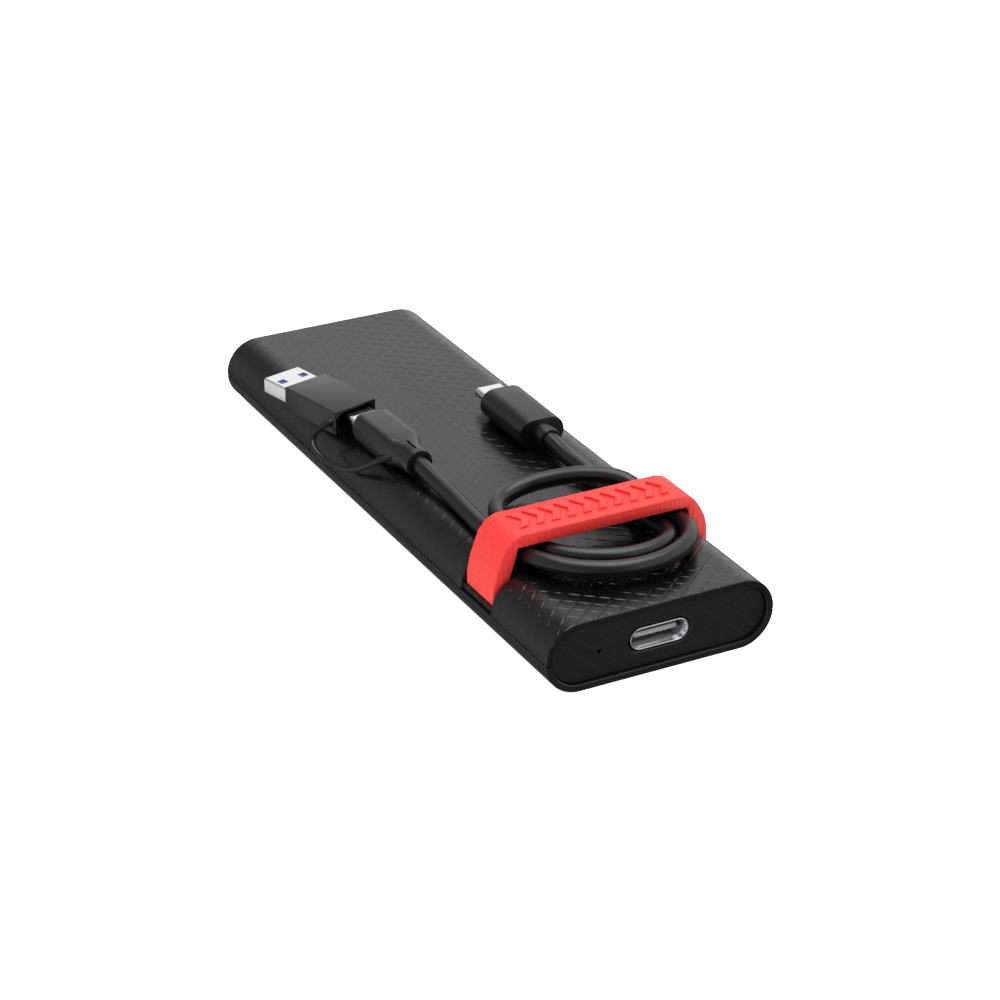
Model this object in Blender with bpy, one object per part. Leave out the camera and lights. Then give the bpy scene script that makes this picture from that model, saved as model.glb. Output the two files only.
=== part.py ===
"""Solid state drive in a slim enclosure, with its connecting cable stowed under an elastic strap.

The enclosure is two extruded shells with round flanks, closed by recessed end plates. The cable lies on
the top in loops that pass under the strap. Its left plug is pushed a little way into a small adapter.

Frame: X is the width, Y the length with the port at -Y, and Z is up with the base at z = 0.
Units are metres. MM turns the sizes below, which are written in millimetres, into metres.
"""

import math

import bmesh
import bpy
from mathutils import Vector

MM = 0.001
GAP = 0.3 * MM

# Enclosure
BODY_WIDTH = 35.0 * MM
BODY_LENGTH = 105.7 * MM
BODY_HEIGHT = 10.26 * MM
BODY_WALL = 1.0 * MM
BODY_CHAMFER = 0.12 * MM
PARTING_Z = 4.85 * MM
END_RECESS = 0.6 * MM
END_PLATE_THICK = 1.6 * MM
END_PLATE_INSET = BODY_WALL + 0.25 * MM
FRONT_Y = -BODY_LENGTH / 2
REAR_Y = BODY_LENGTH / 2
MID_Z = BODY_HEIGHT / 2
PLATE_FRONT_Y = FRONT_Y + END_RECESS
PLATE_REAR_Y = REAR_Y - END_RECESS

# Strap
STRAP_FRONT_Y = -36.6 * MM
STRAP_WIDTH = 7.8 * MM
STRAP_REAR_Y = STRAP_FRONT_Y + STRAP_WIDTH
STRAP_TOP_Z = 15.7 * MM
STRAP_THICK = 1.9 * MM
STRAP_RECESS_X = 13.85 * MM
STRAP_RECESS_FRONT = 0.3 * MM
STRAP_RECESS_REAR = 0.5 * MM
STRAP_CAVITY_X = 13.0 * MM

# Port
PORT_WIDTH = 9.0 * MM
PORT_HEIGHT = 3.3 * MM
PORT_WALL = 0.3 * MM
PORT_DEPTH = 7.3 * MM
PORT_CLEARANCE = 0.25 * MM
LED_X = -9.6 * MM
LED_Z = 5.2 * MM
LED_HOLE_RADIUS = 0.32 * MM

# Boards
BOARD_HALF_WIDTH = 11.0 * MM
BOARD_THICK = 0.8 * MM
TRAY_Z = 1.3 * MM
TRAY_THICK = 0.5 * MM
BRIDGE_Z = 2.4 * MM
BRIDGE_FRONT_Y = -50.4 * MM
BRIDGE_REAR_Y = -30.0 * MM
DRIVE_Z = 4.9 * MM
DRIVE_FRONT_Y = -33.5 * MM
DRIVE_LENGTH = 80.0 * MM
DRIVE_REAR_Y = DRIVE_FRONT_Y + DRIVE_LENGTH

# Cable and plugs
CABLE_DIAMETER = 2.5 * MM
CABLE_POINT_STEP = 3.8 * MM
PLUG_WIDTH = 7.4 * MM
PLUG_HEIGHT = 4.6 * MM
TIP_WIDTH = 5.0 * MM
TIP_HEIGHT = 1.4 * MM
TIP_LENGTH = 5.0 * MM
RIGHT_PLUG_FACE = Vector((8.6, 8.9, 12.6)) * MM
RIGHT_PLUG_YAW = math.radians(-0.7)
RIGHT_PLUG_LENGTH = 12.7 * MM
RIGHT_NECK_DIAMETER = 3.4 * MM
RIGHT_NECK_LENGTH = 2.5 * MM
LEFT_PLUG_FACE = Vector((-12.4, 10.1, 12.6)) * MM
LEFT_PLUG_YAW = math.radians(1.5)
LEFT_PLUG_LENGTH = 15.0 * MM
LEFT_NECK_DIAMETER = 4.2 * MM

# Adapter on the left plug
ADAPTER_FACE = Vector((-12.85, 14.7, 12.15)) * MM
ADAPTER_YAW = math.radians(13.6)
ADAPTER_WIDTH = 7.6 * MM
ADAPTER_HEIGHT = 3.7 * MM
ADAPTER_LENGTH = 12.1 * MM
SOCKET_WIDTH = 6.9 * MM
SOCKET_HEIGHT = 2.8 * MM
SOCKET_RISE = 0.25 * MM
SOCKET_WALL = 0.2 * MM
SOCKET_DEPTH = 4.5 * MM
SHELL_WIDTH = 6.64 * MM
SHELL_HEIGHT = 2.42 * MM
SHELL_WALL = 0.25 * MM
SHELL_LENGTH = 5.8 * MM
TETHER_DIAMETER = 0.9 * MM

# The middle of the cable, from the left plug to the right plug, in millimetres
CABLE_ROUTE = [
    (-12.0, -5.3, 12.6),
    (-11.8, -10.1, 11.95),
    (-11.7, -14.9, 11.65),
    (-12.0, -19.7, 11.65),
    (-12.25, -24.5, 11.65),
    (-12.05, -29.3, 11.7),
    (-11.75, -34.1, 12.0),
    (-10.4, -38.8, 12.4),
    (-7.65, -42.8, 12.5),
    (-3.5, -45.35, 12.5),
    (1.2, -46.2, 12.5),
    (5.95, -45.25, 12.5),
    (10.0, -42.65, 12.5),
    (12.1, -38.6, 12.4),
    (11.9, -33.6, 12.4),
    (11.7, -28.9, 12.4),
    (9.5, -25.2, 14.2),
    (5.8, -21.7, 14.2),
    (1.9, -19.0, 13.3),
    (-2.6, -17.7, 12.3),
    (-6.8, -19.3, 11.75),
    (-9.1, -23.6, 11.65),
    (-9.4, -28.3, 11.7),
    (-9.0, -33.1, 11.9),
    (-7.4, -37.5, 12.3),
    (-4.2, -41.0, 12.5),
    (0.2, -42.8, 12.5),
    (4.4, -42.6, 12.4),
    (7.7, -40.9, 12.2),
    (9.35, -37.9, 11.9),
    (9.25, -34.4, 11.65),
    (8.9, -30.4, 11.65),
    (8.65, -25.6, 11.65),
    (8.7, -20.8, 11.65),
    (8.8, -15.9, 11.7),
    (8.6, -11.1, 11.95),
    (8.4, -6.9, 12.6),
]

# The middle of the tether, from the adapter to the left plug, in millimetres
TETHER_ROUTE = [
    (-17.0, 14.6, 12.1),
    (-18.2, 15.5, 11.2),
    (-19.1, 15.9, 10.1),
    (-19.6, 15.5, 9.2),
    (-19.8, 14.2, 8.5),
    (-19.5, 11.9, 7.95),
    (-19.0, 9.3, 7.9),
    (-18.4, 6.8, 8.2),
    (-17.7, 4.8, 8.9),
    (-16.95, 2.7, 10.1),
    (-16.0, 0.8, 11.5),
    (-15.45, -0.25, 12.2),
]


# ---------------------------------------------------------------- scene and materials


def clear_scene():
    for obj in list(bpy.data.objects):
        bpy.data.objects.remove(obj, do_unlink=True)


def new_collection(name, helper=False):
    collection = bpy.data.collections.new(name)
    bpy.context.scene.collection.children.link(collection)
    collection.hide_render = helper
    return collection


def linear(channel):
    return channel / 12.92 if channel <= 0.04045 else ((channel + 0.055) / 1.055) ** 2.4


def material(name, colour, roughness, metallic=0.0):
    """A Principled material from an sRGB colour written as six hexadecimal digits."""
    made = bpy.data.materials.new(name)
    made.use_nodes = True
    shader = made.node_tree.nodes["Principled BSDF"]
    channels = [linear(int(colour[i : i + 2], 16) / 255) for i in (0, 2, 4)]
    shader.inputs["Base Color"].default_value = (*channels, 1.0)
    shader.inputs["Roughness"].default_value = roughness
    shader.inputs["Metallic"].default_value = metallic
    made.diffuse_color = (*channels, 1.0)
    return made


# ---------------------------------------------------------------- outlines in X and Z


def stadium(width, height, steps=16, trim=0.0):
    """Points round a shape with two half-round sides. trim leaves the ends of the arcs out, in radians."""
    radius = height / 2
    reach = width / 2 - radius
    points = []
    for side, start in ((1, -math.pi / 2), (-1, math.pi / 2)):
        for i in range(steps + 1):
            angle = start + trim + (math.pi - 2 * trim) * i / steps
            points.append((side * reach + radius * math.cos(angle), radius * math.sin(angle)))
    return points


def rounded_rectangle(width, height, radius, steps=4):
    points = []
    corners = ((1, -1, -90), (1, 1, 0), (-1, 1, 90), (-1, -1, 180))
    for x, z, start in corners:
        for i in range(steps + 1):
            angle = math.radians(start + 90 * i / steps)
            points.append(
                (
                    x * (width / 2 - radius) + radius * math.cos(angle),
                    z * (height / 2 - radius) + radius * math.sin(angle),
                )
            )
    return points


def circle(radius, steps=24):
    return [
        (radius * math.cos(math.tau * i / steps), radius * math.sin(math.tau * i / steps))
        for i in range(steps)
    ]


# ---------------------------------------------------------------- solids


class Builder:
    """Puts solids in the object's collection and cutters in a hidden one."""

    def __init__(self):
        self.parts = new_collection("solid_state_drive")
        self.cutters = new_collection("cutters", helper=True)
        self.materials = {}

    def finish_object(self, name, data, look):
        obj = bpy.data.objects.new(name, data)
        if look is None:
            self.cutters.objects.link(obj)
            obj.hide_render = True
            obj.display_type = "WIRE"
            return obj
        self.parts.objects.link(obj)
        title, colour, roughness, metallic = look
        if title not in self.materials:
            self.materials[title] = material(title, colour, roughness, metallic)
        data.materials.append(self.materials[title])
        return obj

    def loft(self, name, sections, look=None):
        """A closed solid through outlines in X and Z, each with its own Y, from low Y to high Y."""
        mesh = bpy.data.meshes.new(name)
        shape = bmesh.new()
        rings = [[shape.verts.new((x, y, z)) for x, z in outline] for y, outline in sections]
        count = len(rings[0])
        for first, second in zip(rings, rings[1:]):
            for i in range(count):
                j = (i + 1) % count
                shape.faces.new((first[i], first[j], second[j], second[i]))
        shape.faces.new(rings[0])
        shape.faces.new(rings[-1])
        bmesh.ops.recalc_face_normals(shape, faces=shape.faces)
        shape.to_mesh(mesh)
        shape.free()
        return self.finish_object(name, mesh, look)

    def prism(self, name, outline, low_y, high_y, look=None):
        return self.loft(name, [(low_y, outline), (high_y, outline)], look)

    def box(self, name, low, high, look=None):
        outline = [(low[0], low[2]), (high[0], low[2]), (high[0], high[2]), (low[0], high[2])]
        return self.prism(name, outline, low[1], high[1], look)

    def turned(self, name, profile, centre, look=None, steps=32):
        """A solid turned round an upright axis. profile holds radius and height from bottom to top."""
        mesh = bpy.data.meshes.new(name)
        shape = bmesh.new()
        rings = []
        for radius, height in profile:
            ring = [shape.verts.new((x, y, height)) for x, y in circle(radius, steps)]
            rings.append(ring)
        for first, second in zip(rings, rings[1:]):
            for i in range(steps):
                j = (i + 1) % steps
                shape.faces.new((first[i], first[j], second[j], second[i]))
        shape.faces.new(rings[0])
        shape.faces.new(rings[-1])
        bmesh.ops.recalc_face_normals(shape, faces=shape.faces)
        shape.to_mesh(mesh)
        shape.free()
        obj = self.finish_object(name, mesh, look)
        obj.location = centre
        return obj

    def tube(self, name, route, diameter, step, look):
        """A round cord along a smooth curve through the route's points, given in millimetres."""
        curve = bpy.data.curves.new(name, "CURVE")
        curve.dimensions = "3D"
        curve.bevel_depth = diameter / 2
        curve.bevel_resolution = 2
        curve.use_fill_caps = True
        points = smooth_points([Vector(point) * MM for point in route], step)
        spline = curve.splines.new("POLY")
        spline.points.add(len(points) - 1)
        for slot, point in zip(spline.points, points):
            slot.co = (*point, 1.0)
        return self.finish_object(name, curve, look)


def smooth_points(route, step):
    """Evenly spaced points on a Catmull-Rom curve through the route."""
    ends = [2 * route[0] - route[1], *route, 2 * route[-1] - route[-2]]
    fine = []
    for p0, p1, p2, p3 in zip(ends, ends[1:], ends[2:], ends[3:]):
        for i in range(20):
            t = i / 20
            fine.append(
                0.5
                * (
                    2 * p1
                    + (p2 - p0) * t
                    + (2 * p0 - 5 * p1 + 4 * p2 - p3) * t**2
                    + (3 * p1 - p0 - 3 * p2 + p3) * t**3
                )
            )
    fine.append(route[-1])
    lengths = [0.0]
    for first, second in zip(fine, fine[1:]):
        lengths.append(lengths[-1] + (second - first).length)
    count = round(lengths[-1] / step)
    points = []
    index = 0
    for i in range(count + 1):
        target = lengths[-1] * i / count
        while index < len(fine) - 2 and lengths[index + 1] < target:
            index += 1
        span = lengths[index + 1] - lengths[index]
        points.append(fine[index].lerp(fine[index + 1], (target - lengths[index]) / span))
    return points


def cut(target, cutter):
    modifier = target.modifiers.new("cut_" + cutter.name, "BOOLEAN")
    modifier.operation = "DIFFERENCE"
    modifier.solver = "EXACT"
    modifier.object = cutter


def empty(build, name, location, yaw):
    holder = bpy.data.objects.new(name, None)
    build.parts.objects.link(holder)
    holder.location = location
    holder.rotation_euler = (0.0, 0.0, yaw)
    return holder


def raised(outline, z):
    return [(x, height + z) for x, height in outline]


# ---------------------------------------------------------------- looks

BLACK_SHELL = ("textured_black_shell", "2b2b2d", 0.6, 0.0)
PLAIN_BLACK = ("plain_black_shell", "262628", 0.5, 0.0)
END_BLACK = ("black_end_plate", "202022", 0.55, 0.0)
CORAL = ("coral_silicone", "f2504c", 0.6, 0.0)
CABLE_BLACK = ("black_cable_jacket", "2a2a2c", 0.45, 0.0)
PLUG_BLACK = ("black_overmould", "2c2c2e", 0.5, 0.0)
STEEL = ("nickel_plated_steel", "d8d8da", 0.25, 1.0)
SCREW_STEEL = ("zinc_plated_steel", "b9bcc0", 0.35, 1.0)
BLUE = ("blue_insulator", "5f86c8", 0.5, 0.0)
GREEN = ("green_circuit_board", "1f6b3a", 0.45, 0.0)
CHIP = ("black_chip_package", "1b1c1e", 0.4, 0.0)
PAD = ("grey_thermal_pad", "8f98a3", 0.8, 0.0)
TRAY = ("aluminium_tray", "a9adb2", 0.4, 1.0)
BRASS = ("brass_standoff", "b58f45", 0.35, 1.0)
LAMP = ("clear_lamp", "dfe6ea", 0.2, 0.0)
SOCKET_BLACK = ("black_connector_body", "19191a", 0.5, 0.0)


# ---------------------------------------------------------------- enclosure


def body_section(inset):
    outline = stadium(BODY_WIDTH - 2 * inset, BODY_HEIGHT - 2 * inset)
    return raised(outline, MID_Z)


def whole_body(build, name, look):
    """The outer form of both shells, with a small chamfer round each end."""
    return build.loft(
        name,
        [
            (FRONT_Y, body_section(BODY_CHAMFER)),
            (FRONT_Y + BODY_CHAMFER, body_section(0.0)),
            (REAR_Y - BODY_CHAMFER, body_section(0.0)),
            (REAR_Y, body_section(BODY_CHAMFER)),
        ],
        look,
    )


def recess_outline(side):
    """The recess that takes one leg of the strap, open to the outside of the flank."""
    inner = STRAP_RECESS_X
    outer = BODY_WIDTH / 2 + 2 * MM
    points = [
        (inner, PARTING_Z - 2 * MM),
        (outer, PARTING_Z - 2 * MM),
        (outer, BODY_HEIGHT + 1 * MM),
        (inner - 0.4 * MM, BODY_HEIGHT + 1 * MM),
        (inner, BODY_HEIGHT - 1.1 * MM),
    ]
    return [(side * x, z) for x, z in points]


def build_shells(build):
    margin = 1 * MM
    half = BODY_WIDTH / 2 + margin
    below = build.box(
        "cutter_below_parting",
        (-half, FRONT_Y - margin, -margin),
        (half, REAR_Y + margin, PARTING_Z + GAP / 2),
    )
    above = build.box(
        "cutter_above_parting",
        (-half, FRONT_Y - margin, PARTING_Z - GAP / 2),
        (half, REAR_Y + margin, BODY_HEIGHT + margin),
    )
    recess_front = STRAP_FRONT_Y - STRAP_RECESS_FRONT
    recess_rear = STRAP_REAR_Y + STRAP_RECESS_REAR
    cavity = body_section(BODY_WALL)
    whole_cavity = build.prism("cutter_cavity", cavity, FRONT_Y - margin, REAR_Y + margin)
    front_cavity = build.prism(
        "cutter_front_cavity", cavity, FRONT_Y - margin, recess_front - BODY_WALL
    )
    rear_cavity = build.prism("cutter_rear_cavity", cavity, recess_rear + BODY_WALL, REAR_Y + margin)
    strap_cavity = build.box(
        "cutter_strap_cavity",
        (-STRAP_CAVITY_X, recess_front - 1.5 * BODY_WALL, BODY_WALL),
        (STRAP_CAVITY_X, recess_rear + 1.5 * BODY_WALL, BODY_HEIGHT - BODY_WALL),
    )

    upper = whole_body(build, "upper_shell", BLACK_SHELL)
    for cutter in (below, front_cavity, rear_cavity, strap_cavity):
        cut(upper, cutter)
    for label, side in (("left", -1), ("right", 1)):
        recess = build.prism(
            f"cutter_recess_{label}", recess_outline(side), recess_front, recess_rear
        )
        cut(upper, recess)
        inner, outer = sorted((side * 12 * MM, side * (STRAP_RECESS_X + 0.5 * MM)))
        window = build.box(
            f"cutter_foot_window_{label}",
            (inner, recess_front, PARTING_Z - margin),
            (outer, recess_rear, 7.0 * MM),
        )
        cut(upper, window)

    lower = whole_body(build, "lower_shell", PLAIN_BLACK)
    for cutter in (above, whole_cavity):
        cut(lower, cutter)


def build_end_plates(build):
    outline = body_section(END_PLATE_INSET)
    front = build.prism(
        "front_end_plate", outline, PLATE_FRONT_Y, PLATE_FRONT_Y + END_PLATE_THICK, END_BLACK
    )
    hole = stadium(PORT_WIDTH + 2 * PORT_CLEARANCE, PORT_HEIGHT + 2 * PORT_CLEARANCE, steps=12)
    port = build.prism(
        "cutter_port", raised(hole, MID_Z), FRONT_Y - 1 * MM, PLATE_FRONT_Y + 3 * MM
    )
    cut(front, port)
    led_outline = [(x + LED_X, z + LED_Z) for x, z in circle(LED_HOLE_RADIUS, 12)]
    led = build.prism("cutter_led_hole", led_outline, FRONT_Y - 1 * MM, PLATE_FRONT_Y + 3 * MM)
    cut(front, led)
    build.prism(
        "rear_end_plate", outline, PLATE_REAR_Y - END_PLATE_THICK, PLATE_REAR_Y, END_BLACK
    )


# ---------------------------------------------------------------- strap


def build_strap(build):
    """One elastic band, fuller on the right where the crossing cable pushes it out.

    Its legs drop into the flanks and end in feet that hook inside the upper shell.
    """
    underside = STRAP_TOP_Z - STRAP_THICK
    foot = [
        (16.8 * MM, PARTING_Z + GAP),
        (12.6 * MM, PARTING_Z + GAP),
        (12.6 * MM, 6.6 * MM),
        (14.35 * MM, 6.6 * MM),
        (14.35 * MM, 8.6 * MM),
        (14.15 * MM, 9.6 * MM),
    ]
    right = [
        (12.6 * MM, STRAP_TOP_Z),
        (13.9 * MM, STRAP_TOP_Z - 0.35 * MM),
        (14.7 * MM, STRAP_TOP_Z - 1.0 * MM),
        (15.6 * MM, 13.4 * MM),
        (16.35 * MM, 11.9 * MM),
        (16.75 * MM, BODY_HEIGHT + 0.14 * MM),
        (16.8 * MM, BODY_HEIGHT - 2.26 * MM),
        *foot,
        (13.95 * MM, 11.4 * MM),
        (13.4 * MM, underside),
    ]
    left = [
        (12.6 * MM, STRAP_TOP_Z),
        (13.9 * MM, STRAP_TOP_Z - 0.6 * MM),
        (15.0 * MM, STRAP_TOP_Z - 1.8 * MM),
        (16.3 * MM, BODY_HEIGHT + 0.14 * MM),
        (16.8 * MM, BODY_HEIGHT - 2.26 * MM),
        *foot,
        (13.55 * MM, 11.4 * MM),
        (12.9 * MM, underside),
    ]
    outline = right + [(-x, z) for x, z in reversed(left)]
    build.prism("strap", outline, STRAP_FRONT_Y, STRAP_REAR_Y, CORAL)
    for label, side in (("left", -1), ("right", 1)):
        inner, outer = sorted((side * 11.4 * MM, side * 12.3 * MM))
        build.box(
            f"strap_bar_{label}",
            (inner, STRAP_FRONT_Y, TRAY_Z + TRAY_THICK + 1.6 * MM),
            (outer, STRAP_REAR_Y, BODY_HEIGHT - BODY_WALL - GAP),
            TRAY,
        )


# ---------------------------------------------------------------- port and electronics


def build_port(build):
    back_y = PLATE_FRONT_Y + PORT_DEPTH
    outer = raised(stadium(PORT_WIDTH, PORT_HEIGHT, steps=12), MID_Z)
    inner_width = PORT_WIDTH - 2 * PORT_WALL
    inner_height = PORT_HEIGHT - 2 * PORT_WALL
    inner = raised(stadium(inner_width, inner_height, steps=12), MID_Z)
    shell = build.prism("port_shell", outer, PLATE_FRONT_Y, back_y, STEEL)
    cut(shell, build.prism("cutter_port_shell", inner, FRONT_Y - 1 * MM, back_y - 0.4 * MM))
    build.box(
        "port_tongue",
        (-3.3 * MM, PLATE_FRONT_Y + 1.2 * MM, MID_Z - 0.35 * MM),
        (3.3 * MM, back_y - 0.7 * MM, MID_Z + 0.35 * MM),
        GREEN,
    )


def build_boards(build):
    reach = BOARD_HALF_WIDTH
    build.box(
        "base_tray",
        (-11.8 * MM, BRIDGE_FRONT_Y, TRAY_Z),
        (11.8 * MM, PLATE_REAR_Y - END_PLATE_THICK - GAP, TRAY_Z + TRAY_THICK),
        TRAY,
    )
    bridge = build.box(
        "bridge_board",
        (-reach, BRIDGE_FRONT_Y, BRIDGE_Z),
        (reach, BRIDGE_REAR_Y, BRIDGE_Z + BOARD_THICK),
        GREEN,
    )
    for label, x in (("left", -8.6 * MM), ("right", 8.6 * MM)):
        place = Vector((x, -46.5 * MM, 0.0))
        hole = build.turned(
            f"cutter_board_hole_{label}",
            [(1.1 * MM, BRIDGE_Z - 1 * MM), (1.1 * MM, BRIDGE_Z + 2 * MM)],
            place,
        )
        cut(bridge, hole)
        build.turned(
            f"board_screw_{label}",
            [
                (0.8 * MM, TRAY_Z + TRAY_THICK + GAP),
                (0.8 * MM, BRIDGE_Z + BOARD_THICK + GAP),
                (1.8 * MM, BRIDGE_Z + BOARD_THICK + GAP),
                (1.8 * MM, BRIDGE_Z + BOARD_THICK + 0.9 * MM),
                (1.4 * MM, BRIDGE_Z + BOARD_THICK + 1.3 * MM),
            ],
            place,
            SCREW_STEEL,
        )
    chip_z = BRIDGE_Z + BOARD_THICK + GAP
    build.box(
        "bridge_chip",
        (-3.5 * MM, -44.2 * MM, chip_z),
        (3.5 * MM, -37.2 * MM, chip_z + 0.9 * MM),
        CHIP,
    )
    build.box(
        "status_lamp",
        (LED_X - 0.8 * MM, BRIDGE_FRONT_Y, chip_z),
        (LED_X + 0.8 * MM, BRIDGE_FRONT_Y + 1.0 * MM, LED_Z + 0.6 * MM),
        LAMP,
    )
    connector = build.box(
        "drive_connector",
        (-reach, DRIVE_FRONT_Y - 1.6 * MM, chip_z),
        (reach, DRIVE_FRONT_Y + 3.4 * MM, DRIVE_Z + BOARD_THICK + 1.0 * MM),
        SOCKET_BLACK,
    )
    slot = build.box(
        "cutter_connector_slot",
        (-reach + 0.5 * MM, DRIVE_FRONT_Y - GAP, DRIVE_Z - GAP),
        (reach - 0.5 * MM, DRIVE_FRONT_Y + 5 * MM, DRIVE_Z + BOARD_THICK + GAP),
    )
    cut(connector, slot)


def build_drive(build):
    """The 22 mm wide, 80 mm long drive board, with its packages, standoff, screw and thermal pad."""
    reach = BOARD_HALF_WIDTH
    outline_z = (DRIVE_Z, DRIVE_Z + BOARD_THICK)
    board = build.box(
        "drive_board",
        (-reach, DRIVE_FRONT_Y, outline_z[0]),
        (reach, DRIVE_REAR_Y, outline_z[1]),
        GREEN,
    )
    for label, side in (("left", -1), ("right", 1)):
        inner, outer = sorted((side * (reach - 0.8 * MM), side * (reach + 1 * MM)))
        shoulder = build.box(
            f"cutter_shoulder_{label}",
            (inner, DRIVE_FRONT_Y - 1 * MM, DRIVE_Z - 1 * MM),
            (outer, DRIVE_FRONT_Y + 4.0 * MM, DRIVE_Z + 2 * MM),
        )
        cut(board, shoulder)
    end = Vector((0.0, DRIVE_REAR_Y, 0.0))
    notch = build.turned(
        "cutter_end_notch", [(1.75 * MM, DRIVE_Z - 1 * MM), (1.75 * MM, DRIVE_Z + 2 * MM)], end
    )
    cut(board, notch)

    package_z = DRIVE_Z + BOARD_THICK + GAP
    packages = (
        ("drive_controller", 6.5, -27.0, -14.0),
        ("drive_memory", 5.0, -11.0, -1.0),
        ("flash_package_front", 7.0, 3.0, 19.0),
        ("flash_package_rear", 7.0, 22.0, 38.0),
    )
    for name, half, low, high in packages:
        build.box(
            name,
            (-half * MM, low * MM, package_z),
            (half * MM, high * MM, package_z + 1.1 * MM),
            CHIP,
        )
    build.box(
        "thermal_pad",
        (-9.5 * MM, -27.5 * MM, package_z + 1.1 * MM + GAP),
        (9.5 * MM, 39.0 * MM, BODY_HEIGHT - BODY_WALL - GAP),
        PAD,
    )
    stand_low = TRAY_Z + TRAY_THICK + GAP
    standoff = build.turned(
        "standoff", [(2.4 * MM, stand_low), (2.4 * MM, DRIVE_Z - GAP)], end, BRASS
    )
    cut(
        standoff,
        build.turned(
            "cutter_standoff_hole",
            [(1.1 * MM, DRIVE_Z - 2.2 * MM), (1.1 * MM, DRIVE_Z + 1 * MM)],
            end,
        ),
    )
    head_z = DRIVE_Z + BOARD_THICK + GAP
    build.turned(
        "drive_screw",
        [
            (0.8 * MM, DRIVE_Z - 1.9 * MM),
            (0.8 * MM, head_z),
            (2.4 * MM, head_z),
            (2.4 * MM, head_z + 0.5 * MM),
            (1.9 * MM, head_z + 0.9 * MM),
        ],
        end,
        SCREW_STEEL,
    )


# ---------------------------------------------------------------- cable and plugs


def plug_tip(build, name, holder):
    outline = stadium(TIP_WIDTH, TIP_HEIGHT, steps=8)
    soft = stadium(TIP_WIDTH - 0.3 * MM, TIP_HEIGHT - 0.3 * MM, steps=8)
    end = GAP + TIP_LENGTH
    tip = build.loft(name, [(GAP, outline), (end - 0.25 * MM, outline), (end, soft)], STEEL)
    mouth = stadium(TIP_WIDTH - 0.6 * MM, TIP_HEIGHT - 0.6 * MM, steps=8)
    mouth_cutter = build.prism(f"cutter_{name}", mouth, end - 3.2 * MM, end + 1 * MM)
    for obj in (tip, mouth_cutter):
        obj.parent = holder
    cut(tip, mouth_cutter)


def build_right_plug(build):
    """The free plug. Its holder sits at the middle of the face that its metal tip comes out of."""
    holder = empty(build, "right_plug_holder", RIGHT_PLUG_FACE, RIGHT_PLUG_YAW)
    trim = math.radians(3)
    full = stadium(PLUG_WIDTH, PLUG_HEIGHT, steps=14, trim=trim)
    soft = stadium(PLUG_WIDTH - 0.4 * MM, PLUG_HEIGHT - 0.4 * MM, steps=14, trim=trim)
    low = -RIGHT_PLUG_LENGTH
    body = build.loft(
        "right_plug_body",
        [(low, soft), (low + 0.2 * MM, full), (-0.2 * MM, full), (0.0, soft)],
        PLUG_BLACK,
    )
    neck_end = low - GAP - RIGHT_NECK_LENGTH
    neck = build.prism(
        "right_plug_neck",
        circle(RIGHT_NECK_DIAMETER / 2),
        neck_end,
        low - GAP,
        PLUG_BLACK,
    )
    for obj in (body, neck):
        obj.parent = holder
    plug_tip(build, "right_plug_tip", holder)


def build_left_plug(build):
    """The plug in the adapter: a wide grip that narrows to a round strain relief with slots."""
    holder = empty(build, "left_plug_holder", LEFT_PLUG_FACE, LEFT_PLUG_YAW)
    trim = math.radians(6)
    waist = [
        (-LEFT_PLUG_LENGTH, LEFT_NECK_DIAMETER, LEFT_NECK_DIAMETER),
        (-12.4 * MM, LEFT_NECK_DIAMETER + 0.15 * MM, LEFT_NECK_DIAMETER),
        (-11.2 * MM, 4.85 * MM, 4.3 * MM),
        (-10.2 * MM, 5.7 * MM, 4.45 * MM),
        (-9.1 * MM, 6.75 * MM, 4.55 * MM),
        (-8.2 * MM, PLUG_WIDTH - 0.1 * MM, PLUG_HEIGHT),
        (-7.6 * MM, PLUG_WIDTH, PLUG_HEIGHT),
        (-0.2 * MM, PLUG_WIDTH, PLUG_HEIGHT),
        (0.0, PLUG_WIDTH - 0.4 * MM, PLUG_HEIGHT - 0.4 * MM),
    ]
    sections = [
        (y, stadium(width, height, steps=14, trim=trim)) for y, width, height in waist
    ]
    body = build.loft("left_plug_body", sections, PLUG_BLACK)
    body.parent = holder
    for label, x, z in (("side", -1, 0), ("top", 0, 1)):
        reach = 0.2 * MM
        deep = LEFT_NECK_DIAMETER / 2
        slot_low, slot_high = -LEFT_PLUG_LENGTH + 1.1 * MM, -LEFT_PLUG_LENGTH + 3.7 * MM
        if x:
            low = (-deep * 1.6, slot_low, -reach)
            high = (-deep * 0.82, slot_high, reach)
        else:
            low = (-reach, slot_low, deep * 0.82)
            high = (reach, slot_high, deep * 1.6)
        slot = build.box(f"cutter_relief_slot_{label}", low, high)
        slot.parent = holder
        cut(body, slot)
    plug_tip(build, "left_plug_tip", holder)


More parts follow.
